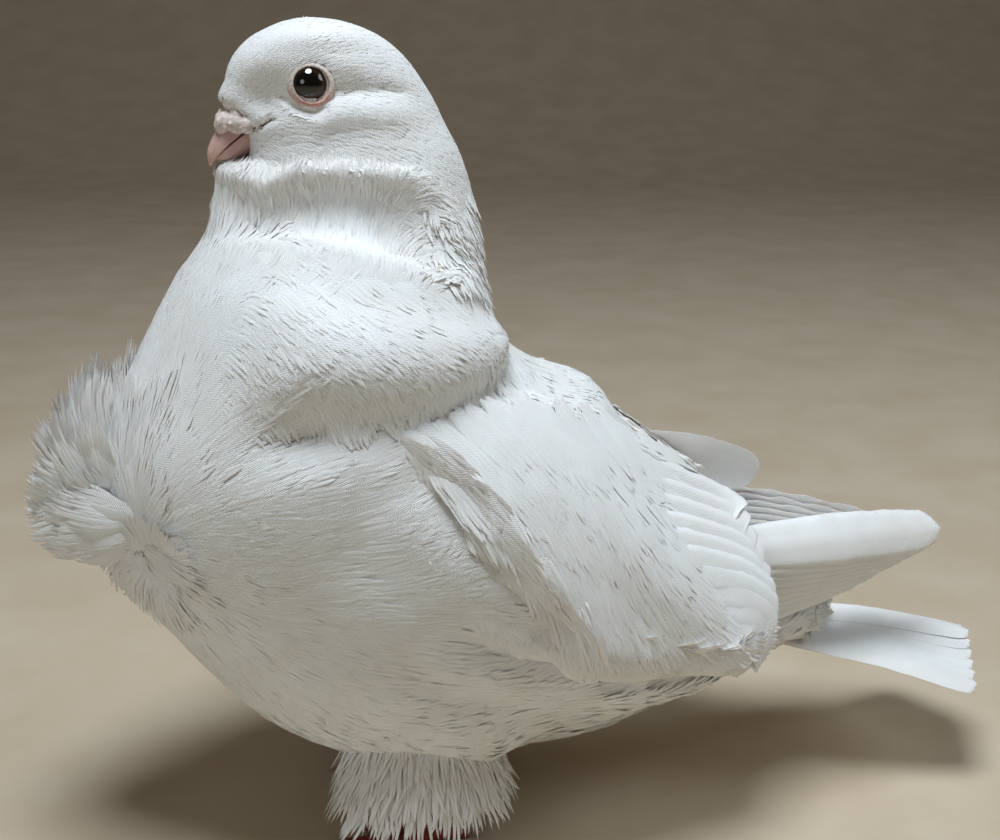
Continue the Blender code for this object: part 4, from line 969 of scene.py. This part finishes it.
ROWS, COLUMNS = 59, 29
u, v = np.meshgrid(np.linspace(0, 1, ROWS + 1), np.linspace(0, 1, COLUMNS + 1), indexing="ij")
wing_points = np.concatenate([(wing_form(u, v) * (1, side, 1)).reshape(-1, 3) for _, side in SIDES])
corner = np.arange(len(wing_points)).reshape(2, ROWS + 1, COLUMNS + 1)
wing_faces = np.stack([corner[:, :-1, :-1], corner[:, 1:, :-1], corner[:, 1:, 1:], corner[:, :-1, 1:]], -1)
wing_tree = BVHTree.FromPolygons([Vector(p) for p in wing_points], wing_faces.reshape(-1, 4).tolist())
rise, hidden_under_wing = np.zeros(outline.shape[:2]), np.zeros(outline.shape[:2])
for i in range(len(T_GRID)):
    if T_GRID[i] > 9.3:
        for j in range(0, len(V_GRID), 2):
            p, out = Vector(outline[i, j]), Vector(body.out[i, j])
            place, _, face, far = wing_tree.ray_cast(p - out * 1.0, out, 26.0)
            if place is not None:
                row, column = divmod(face % (ROWS * COLUMNS), COLUMNS)
                u, v = row / ROWS, column / COLUMNS
                before_drape = u < edge_of_drape(v) + 0.01 and 0.06 < v < 0.86 and abs(V_GRID[j]) < 106
                lumps = 0.7 + 0.6 * np.sin(u * 23 + 4 * v) * np.sin(v * 11 - 7 * u) if before_drape else 0.0
                rise[i, j] = max(0.0, far - 1.0) + lumps
                hidden_under_wing[i, j] = 0.0 if before_drape else far - 1.0
        for depth in (rise, hidden_under_wing):
            depth[i, 1::2] = (depth[i, 0:-1:2] + depth[i, 2::2]) / 2
for _ in range(14):
    rise[1:-1] = (rise[:-2] + 2 * rise[1:-1] + rise[2:]) / 4
    rise[:, 1:-1] = (rise[:, :-2] + 2 * rise[:, 1:-1] + rise[:, 2:]) / 4
dressed = Form(outline + body.out * rise[..., None], (T_GRID[0], T_GRID[-1]), (-180, 180), closed=True)


def in_open(u, v, points):
    """True where the wing doesn't cover the place."""
    i = np.clip((u - T_GRID[0]) / dressed.du, 0, len(T_GRID) - 1).astype(int)
    j = np.clip((v + 180) / dressed.dv, 0, len(V_GRID) - 1).astype(int)
    return hidden_under_wing[i, j] < 6.0


def collar_heading(t, v):
    side = 62 - 34 * ramp(t, 9.5, 10.1) * ramp(v, 60, 80) - 36 * ramp(v, 112, 160)
    return blend(np.full_like(side, 178.0), side, ramp(v, 30, 62))


collar_batches = [
    coat(dressed, (7.7, 9.6, -180, 180), 3.0, by_heading(collar_heading), 18.0, 8.0, 13, 0.35, rng,
         sink=lambda t, v, p: 0.5 + 0.5 * (1 - ramp(t, 7.7, 8.5)), swing=5, fray=0.3, fan=0.1, ruffle=0.05,
         slim=1.15),
    coat(dressed, (9.0, 9.95, -172, 172), 3.0, by_heading(collar_heading), 15.0, 8.5, 13, 0.5, rng,
         keep=lambda t, v, p: np.abs(v) > 42 + 22 * np.abs(np.sin(37 * t)), sink=0.7, swing=8, fray=0.3,
         fan=0.15, ruffle=0.12, slim=1.1),
]
joined_feathers("collar_feathers", collar_batches, soft_feather)


# Breast: a broad smooth cushion whose feathers run out all ways from a whorl low on each side of the front.
# They lie close, each tip covering the next root, and their barbs give a fine silky grain.
WHORL_T, WHORL_V = 11.67, 34.0


def breast_heading(t, v):
    from_whorl = np.degrees(np.arctan2((v - WHORL_V) * 0.85, (t - WHORL_T) * 22))
    low = blend(from_whorl, 8 + 22 * np.sin(np.radians(v)), ramp(t, 12.5, 14.2))
    return blend(low, 4 + 0 * t, ramp(v, 105, 140))


def breast_keep(t, v, points):
    return in_open(t, v, points) & ~((np.abs(v) > 70) & (t < 10.1))


for name, region, spacing, length, width in (
    ("breast_feathers", (8.4, 11.6, -100, 100), 3.4, 20.0, 8.5),
    ("low_breast_feathers", (11.6, 13.4, -105, 105), 3.5, 21.0, 9.0),
):
    batch = coat(dressed, region, spacing, by_heading(breast_heading), length, width, 13, 0.2, rng,
                 keep=breast_keep, sink=0.5, swing=5, fray=0.35, ruffle=0.04, slim=1.15)
    joined_feathers(name, [batch], soft_feather)


# Frill: a ridge of longer feathers down the middle of the breast that curl outwards and up, beside a whorl.
# The curled ones stand in locks of a few feathers with bent tips, as the breed is named for.
# Each lock: t and angle of its root, its tip's x, y, z, both for the right side, width, how many feathers.
FRILL = (
    (11.05, 14, (-114.5, 8, 134.0), 11, 6),
    (11.15, 8, (-118.5, 5, 131.5), 12, 6),
    (11.25, 20, (-117.5, 14, 124.5), 13, 6),
    (11.3, 10, (-124.5, 4, 127.0), 13, 7),
    (11.4, 17, (-123.5, 11, 119.0), 14, 7),
    (11.4, 9, (-129.0, 4, 119.0), 13, 7),
    (11.45, 22, (-121.5, 15, 112.0), 14, 7),
    (11.48, 12, (-130.5, 6, 112.0), 14, 7),
    (11.52, 18, (-127.5, 11, 106.0), 14, 7),
    (11.55, 10, (-133.5, 5, 105.0), 14, 7),
    (11.58, 15, (-132.0, 8, 100.0), 14, 7),
    (11.6, 9, (-134.8, 4, 98.0), 14, 7),
    (11.62, 13, (-132.5, 8, 94.5), 13, 7),
    (11.64, 18, (-126.0, 12, 94.0), 12, 7),
    (11.66, 8, (-127.5, 4, 92.5), 12, 7),
    (11.45, 27, (-125.5, 14, 106.0), 12, 7),
    (11.52, 28, (-127.0, 14, 101.5), 12, 7),
    (11.58, 28, (-126.0, 15, 97.0), 12, 7),
    (11.66, 26, (-122.5, 15, 93.0), 11, 7),
)


def curled_lock(root_t, root_v, tip, width, many, side, rng):
    """Feathers that leave the skin at one root and curl together to one tip."""
    ts, vs = root_t + rng.normal(0, 0.07, many), side * np.maximum(1, root_v + rng.normal(0, 3.5, many))
    start, _, _, out = body.at(ts, vs)
    start = start - out * 1.5
    end = np.array(tip) * (1, side, 1) + rng.normal(0, 1.6, (many, 3))
    end = end - (0, 0, 1) * rng.uniform(0, 3, (many, 1))
    # The feather first leaves the body outwards and then bends up to its tip.
    bend = start + out * 4.0 + (end - start) * 0.45 - np.array((0, 0, 1)) * 1.5
    f = np.linspace(0, 1, 8)[None, :, None]
    line = start[:, None] * (1 - f) ** 2 + bend[:, None] * 2 * f * (1 - f) + end[:, None] * f**2
    ahead = unit(np.gradient(line, axis=1))
    facing = unit(out[:, None] + np.array((0.0, 0.9 * side, 0.0)) + rng.normal(0, 0.15, (many, 1, 3)))
    across = unit(np.cross(ahead, facing))
    lengths = np.linalg.norm(end - start, axis=1) * 1.1
    return plumes(
        (line, across, np.cross(across, ahead)), body_unwrap(ts, vs), lengths, np.full(many, width * 0.8),
        18, rng, fray=0.25, fan=0.12, camber=0.16, ruffle=0.08, rings=5, slim=1.15,
    )


frill_batches = [coat(
    body, (10.6, 12.1, -38, 38), 3.0, by_heading(breast_heading), 20.0, 9.0, 15,
    lambda t, v, p: 1.0 + 4.0 * (1 - ramp(np.abs(v), 12, 36)), rng,
    keep=lambda t, v, p: (np.abs(v) > 12) & (np.abs(v) < 36), sink=0.8, swing=7, fray=0.3, ruffle=0.15,
    rings=4,
)]
for _, side in SIDES:
    for lock in FRILL:
        frill_batches.append(curled_lock(*lock, side, rng))
    # Short feathers that stand off in a ring round the whorl.
    many = 18
    around = np.linspace(0, 360, many, endpoint=False) + rng.uniform(-8, 8, many)
    ts = WHORL_T + 0.2 + 0.10 * np.cos(np.radians(around))
    vs = side * (WHORL_V + 3 + 5 * np.sin(np.radians(around)))
    lengths = rng.uniform(9, 13, many)
    line = lay(body, ts, vs, by_heading(lambda a, b: around), lengths)
    line = lifted(line, 1.5, rng.uniform(1.0, 3.0, many))
    frill_batches.append(
        plumes(line, body_unwrap(ts, vs), lengths, 6.0, 12, rng, fray=0.3, fan=0.3, ruffle=0.2, rings=4))
joined_feathers("frill_feathers", frill_batches, soft_feather)


# Belly, flanks and vent: a smooth tongue of feathers between the legs, and loose fluff behind and above it.
# The flank feathers rise over the wing's lower edge and hold the folded wing.
belly_batches = [
    coat(dressed, (13.2, 15.3, -100, 100), 4.0, by_heading(breast_heading), 20.0, 10.0, 12, 0.4, rng,
         keep=in_open, sink=0.6, swing=5, fray=0.3, ruffle=0.05, slim=1.1),
    coat(dressed, (15.0, 18.6, -115, 115), 4.1, by_heading(breast_heading), 20.0, 9.5, 12, 1.2, rng,
         keep=in_open, sink=0.8, swing=10, fray=0.4, fan=0.2, ruffle=0.2, slim=1.05),
    *(coat(dressed, (10.0, 18.6, *half), 3.8, by_heading(breast_heading), 18.0, 9.0, 11, 0.4, rng,
           keep=in_open, sink=0.6, swing=5, fray=0.2, ruffle=0.05, slim=1.1)
      for half in ((120, 180), (-180, -120))),
]
joined_feathers("belly_feathers", belly_batches[:1], soft_feather)
joined_feathers("vent_feathers", belly_batches[1:2], soft_feather)
joined_feathers("back_feathers", belly_batches[2:], soft_feather)


# Trousers: fine loose strands that fan down over the feet from the thighs, nearly to the floor.
# They are the softest feathers of the bird, split into single barbs.
def down_lie(u, v, here, along, round_, out):
    return unit(along)


trouser_batches = []
for side_name, side in SIDES:
    u, v = np.meshgrid(np.linspace(0, 1, 40), np.linspace(0, 360, 73), indexing="ij")
    bell = Form(thigh_form(u, v, FEET_X[side_name]), (0, 1), (0, 360), closed=True)
    for region, length, lift in (((0.0, 0.34, 0, 360), 24.0, 2.5), ((0.3, 0.5, 0, 360), 21.0, 1.5)):
        u, v = scatter(bell, region, 3.0, rng)
        lengths = length * rng.uniform(0.8, 1.05, len(u))
        line = lay(bell, u, v, down_lie, lengths, rng.normal(0, 10, len(u)))
        line = lifted(line, 2.5, lift * rng.uniform(0.5, 1.5, len(u)))
        line[0][..., 2] = np.maximum(line[0][..., 2], 1.0)
        roots = np.stack([0.70 + 0.27 * v / 360, (0.54 if side > 0 else 0.78) + 0.2 * u], -1)
        made = plumes(line, roots, lengths, 6.0, 10, rng, fray=0.45, fan=0.5, ruffle=0.6, rings=4)
        made[0][:, 2] = np.maximum(made[0][:, 2], 0.3)
        trouser_batches.append(mirrored(made) if side < 0 else made)
joined_feathers("trouser_feathers", trouser_batches, soft_feather)


# Wings: folded on the sides. Smooth small coverts overlap like tiles, and the scapulars drape over them.
# From under them come the secondaries, their round tips in steps, and the primaries that cross over the tail.
def wing_relief(u, v):
    """Height of the scapular drape over the coverts, with a rounded edge, and the coverts' own soft lumps."""
    edge = edge_of_drape(v)
    drape = 3.2 * ramp(u, edge - 0.012, edge + 0.035) * (1 - ramp(u, 0.42, 0.75))
    hollow = -1.2 * np.exp(-(((u - edge + 0.05) / 0.035) ** 2)) * ramp(v, 0.1, 0.3)
    lumps = 0.7 * np.sin(u * 17 + 9 * v) * ramp(u, 0.4, 0.5) * (1 - ramp(u, 0.8, 0.95))
    return drape + hollow + lumps - 3.5 * (1 - ramp(u, 0.0, 0.15))


ALONG_WING, OVER_WING = (-0.02, 1.1), (-0.22, 1.1)
u, v = np.meshgrid(np.linspace(*ALONG_WING, 180), np.linspace(*OVER_WING, 120), indexing="ij")
sheet = wing_form(u, v)
flat = Form(sheet, ALONG_WING, OVER_WING)
wing = Form(sheet + flat.out * wing_relief(u, np.clip(v, 0, 1))[..., None], ALONG_WING, OVER_WING)


def wing_lie(u, v, here, along, round_, out):
    """Tailwards and down."""
    turn = np.radians(-56 + 36 * ramp(u, 0.4, 0.95))[:, None]
    ahead = unit(along)
    upward = unit(round_ - ahead * (round_ * ahead).sum(1, keepdims=True))
    return ahead * np.cos(turn) + upward * np.sin(turn)


def flat_vane(points, widths, facing, rng, root_at, camber=0.10, ruffle=0.0, tip=0.16):
    """Long feather with a closed thin vane, a shaft and a slightly uneven edge, along a smooth curve."""
    rows, columns, thick = 24, 9, 0.5
    curve = np.array(points, float)
    s = np.linspace(0, 1, rows) ** 0.9
    centre = eased(curve, (len(curve) - 1) * s)
    ahead = unit(np.gradient(centre, axis=0))
    across = unit(np.cross(ahead, np.array(facing, float)))
    up = np.cross(across, ahead)
    width = np.interp(s, np.linspace(0, 1, len(widths)), widths) / 2
    rounded = np.clip(1 - np.clip((s - (1 - tip)) / tip, 0, 1) ** 2.0, 0.0, 1) ** 0.5
    width = np.maximum(width * rounded, 0.15)
    c = np.linspace(-1, 1, columns)
    uneven = 1 + rng.uniform(-0.035, 0.02, (rows, columns)) * np.abs(c) ** 4
    x = width[:, None] * c * uneven
    arch = -camber * width[:, None] * c**2 * 2
    wave = ruffle * np.sin(s * 46 + rng.uniform(0, 6))[:, None] * np.clip(c, 0, 1) ** 2
    middle = centre[:, None] + across[:, None] * x[..., None] + up[:, None] * (arch + wave)[..., None]
    # The vane thins towards its edges and tip, and the shaft runs along its middle on top.
    half = thick / 2 * (1 - 0.75 * np.abs(c) ** 3)
    deep = half * (1 - 0.4 * s)[:, None] + 0.35 * (c == 0) * (1 - 0.75 * s)[:, None]
    top, below = middle + up[:, None] * deep[..., None], middle - up[:, None] * half[..., None]
    ring = np.concatenate([top, below[:, ::-1]], 1)
    sides = 2 * columns
    quads = []
    for i in range(rows - 1):
        for j in range(sides):
            k = (j + 1) % sides
            quads.append((i * sides + j, i * sides + k, (i + 1) * sides + k, (i + 1) * sides + j))
    for i, flip in ((0, True), (rows - 1, False)):
        for j in range(columns - 1):
            face = (i * sides + j, i * sides + j + 1, i * sides + sides - 2 - j, i * sides + sides - 1 - j)
            quads.append(face[::-1] if flip else face)
    # Places on the vane in mm for the barbs, over the top and back along the underside.
    onward = np.broadcast_to(s[:, None] * np.linalg.norm(curve[-1] - curve[0]), x.shape)
    where = np.stack([x, onward], -1)
    where = np.concatenate([where, where[:, ::-1]], 1)
    spot = np.stack([np.concatenate([c, c[::-1]])[None].repeat(rows, 0),
                     (2 * s - 1)[:, None].repeat(sides, 1)], -1)
    bake = (np.array(root_at) + 0.0015 * spot).reshape(-1, 2)
    return ring.reshape(-1, 3), np.array(quads), np.zeros((0, 3), int), bake, where.reshape(-1, 2)


def wing_point(u, v):
    return wing_form(np.array(float(u)), np.array(float(v)))


long_feathers, primaries = [], {}
for side_name, lower in (("left", 0.0), ("right", 9.0)):
    primaries[side_name] = []
    for i in range(9):
        f = i / 8
        # The upper, inner feathers lie outermost, so that each lower edge shows; the far wing is held lower.
        root = (32 + 8 * f, 34 - 9 * f, 61.0 + 17 * f)
        middle = (72 + 4 * f, 17.0 + 4.5 * f, 64.0 + 13.5 * f - 0.6 * lower)
        tip = (93 + 21 * f, 8.5 + 2.0 * f, 64.5 + 8.5 * f - lower)
        primaries[side_name].append(flat_vane(
            (root, middle, tip), (9, 13, 14.5, 13.5, 11), (0.25, 1, 0.5), rng,
            wing_unwrap(0.9, 0.1 + 0.08 * i, 1), ruffle=0.6 if i > 5 else 0.15))
# Secondary tips step down the wing's rear edge.
REAR_EDGE = np.array((
    (49.3, 38, 54.3), (54.5, 36, 57.7), (55.6, 34, 62.4), (53.9, 32, 68.9), (50.9, 30, 77.0),
    (47.5, 27, 84.6), (45.5, 24, 90.7),
))
for i in range(10):
    f = i / 10
    tip = eased(REAR_EDGE, np.array(6 * f)) - (1.0, 0, 0)
    root = wing_point(0.6, 0.17 + 0.7 * f) - (0, 2.6, 0)
    middle = wing_point(0.82, 0.13 + 0.76 * f) + (0, 0.6 + 0.2 * f, 0)
    long_feathers.append(flat_vane(
        (root, middle, tip), (6, 12, 13.5, 13, 11), (0.2, 1, 0.3), rng, wing_unwrap(0.7, 0.05 + 0.09 * i, 1)))
# One more feather stands off above the right wing.
loose = flat_vane(
    ((28, 22, 95), (49, 18.5, 91.5), (68, 15, 84.5)), (9, 13, 14.5, 14.5, 13), (0, 1, 0.35), rng,
    wing_unwrap(0.6, 0.99, 1), tip=0.22)

for side_name, side in SIDES:
    rng = np.random.default_rng(21 if side < 0 else 22)
    where = {"unwrap": lambda u, v, side=side: wing_unwrap(u, v, side), "mirror": side}
    firm = {"sink": 0.6, "swing": 4, "fray": 0.15, "camber": 0.12, "ruffle": 0.04, "slim": 1.15}
    small = coat(
        wing, (0.0, 0.5, 0.0, 0.96), 3.2, wing_lie, 14.0, 8.5, 13, 0.2, rng,
        keep=lambda u, v, p: (u < edge_of_drape(v) + 0.03) & (u > edge_of_drape(v) - 0.07), sink=0.9,
        swing=6, fray=0.3, ruffle=0.05, slim=1.15, **where)
    rear = coat(
        wing, (0.3, 0.84, 0.0, 1.0), 4.8, wing_lie, lambda u, v, p: 24 - 10 * ramp(u, 0.5, 0.78), 12.5, 16,
        0.35, rng, keep=lambda u, v, p: (u > edge_of_drape(v) + 0.1) & (u < 0.84 - 0.08 * ramp(v, 0.3, 0.8)),
        **firm, **where)
    drape = coat(
        wing, (0.1, 0.5, 0.1, 0.97), 4.0, wing_lie, 26.0, 12.5, 17, 0.2, rng,
        keep=lambda u, v, p: (u > edge_of_drape(v) + 0.01) & (u < edge_of_drape(v) + 0.26), **firm, **where)
    joined_feathers(f"wing_coverts_{side_name}", [small, rear, drape], soft_feather)
    flights = long_feathers + primaries[side_name] + ([loose] if side > 0 else [])
    flights = [mirrored(b) if side < 0 else b for b in flights]
    joined_feathers(f"flight_feathers_{side_name}", flights, vane_feather, [f"wing_{side_name}"])


# Tail: twelve straight broad feathers spread a little, the middle pair on top, with soft coverts over them.
# The vanes are firm and smooth, each with a pale shaft, and their ends are rounded.
tail_batches = []
rng = np.random.default_rng(31)
for i in range(6):
    for _, side in SIDES:
        spread = 2.2 + 4.1 * i
        drop = 1.15 * i + (0.4 if side > 0 else 0)
        root = (66, side * (1.5 + 1.6 * i), 49.5 - 0.8 * drop)
        middle = (97, side * (0.5 * spread + 1.2 * i), 44.6 - drop)
        tip = (131.5 - 1.7 * i, side * spread, 35.6 - 1.15 * drop)
        tail_batches.append(flat_vane(
            (root, middle, tip), (7, 10, 12, 12, 10), (0.25, side * (0.1 + 0.05 * i), 1), rng,
            body_unwrap(np.array(18.8), np.array(side * (170 - 25 * i))), camber=0.07))
joined_feathers("tail_feathers", tail_batches, vane_feather, ["tail"])
covert = coat(body, (17.6, 18.9, -180, 180), 4.0, by_heading(lambda t, v: 0 * t), 17.0, 8.0, 9, 0.6, rng,
              sink=1.0, swing=6, fray=0.2, ruffle=0.2)
joined_feathers("tail_coverts", [covert], soft_feather)


# Floor, light and camera: a plain pale backdrop that curves up behind, under soft light mostly from above.
# The backdrop is painted board; its warm tone gives the undersides the soft beige they have in the photo.
floor_paint, shader = new_material("pale painted board", Roughness=0.85)
place = place_of(floor_paint)
mottle = node(floor_paint, "ShaderNodeTexNoise", values={"Scale": 1 / (40 * MM), "Detail": 4.0}, Vector=place)
feed(shader, Base_Color=two_tones(floor_paint, mottle.outputs["Fac"], "#C8B89F", "#CFC1AA"))
# The board in side view, in metres: flat under the bird, bent up behind it, and turned to face the camera.
bend = [(1.2 + 0.8 * math.sin(a), 0.8 - 0.8 * math.cos(a)) for a in np.radians(np.arange(5, 91, 5))]
profile = [(-3.0, 0.0), (1.2, 0.0), *bend, (2.0, 3.0)]
AZIMUTH, ELEVATION, DISTANCE = math.radians(-13), math.radians(17), 0.400
sideways = Vector((math.cos(AZIMUTH), math.sin(AZIMUTH), 0.0))
backwards = Vector((-math.sin(AZIMUTH), math.cos(AZIMUTH), 0.0))
corners = [sideways * x + backwards * away + Vector((0, 0, z)) for away, z in profile for x in (-4.0, 4.0)]
mesh = bpy.data.meshes.new("floor")
mesh.from_pydata(corners, [], [(2 * i, 2 * i + 1, 2 * i + 3, 2 * i + 2) for i in range(len(profile) - 1)])
floor = new_piece("floor", mesh)
choose(floor)
bpy.ops.object.shade_smooth()
floor.data.materials.append(floor_paint)
floor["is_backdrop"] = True
world = bpy.data.worlds.new("studio")
bpy.context.scene.world = world
world.use_nodes = True
world.node_tree.nodes["Background"].inputs["Color"].default_value = linear("#D2C3AF")
world.node_tree.nodes["Background"].inputs["Strength"].default_value = 0.11


# The middle of the picture, which the lights and the camera are turned to.
AIM = Vector((-12.6, 0.0, 111.0)) * MM


def aimed(name, data, place):
    made = new_piece(name, data)
    made.location = place
    made.rotation_mode = "QUATERNION"
    made.rotation_quaternion = (AIM - Vector(place)).to_track_quat("-Z", "Y")
    return made


# Each soft light: name, place and width of its disk in metres, watts, colour.
for name, place, size, watts, colour in (
    ("overhead", (-0.10, -0.16, 0.95), 0.40, 7.4, "#EEF6FF"),
    ("front fill", (-0.9, -0.75, 0.45), 0.5, 1.3, "#F2F8FF"),
    ("rear side", (0.75, -0.15, 0.6), 0.5, 1.9, "#EEF6FF"),
):
    light = bpy.data.lights.new(name, "AREA")
    light.shape, light.size, light.energy, light.color = "DISK", size, watts, linear(colour)[:3]
    aimed(name, light, place)

camera = bpy.data.cameras.new("camera")
camera.lens, camera.sensor_width = 54.0, 36.0
camera.clip_start, camera.clip_end = 0.01, 20.0
towards = Vector((0, 0, math.sin(ELEVATION))) - backwards * math.cos(ELEVATION)
bpy.context.scene.camera = aimed("camera", camera, AIM + towards * DISTANCE)
bpy.context.scene.view_settings.view_transform = "Standard"

low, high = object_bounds()
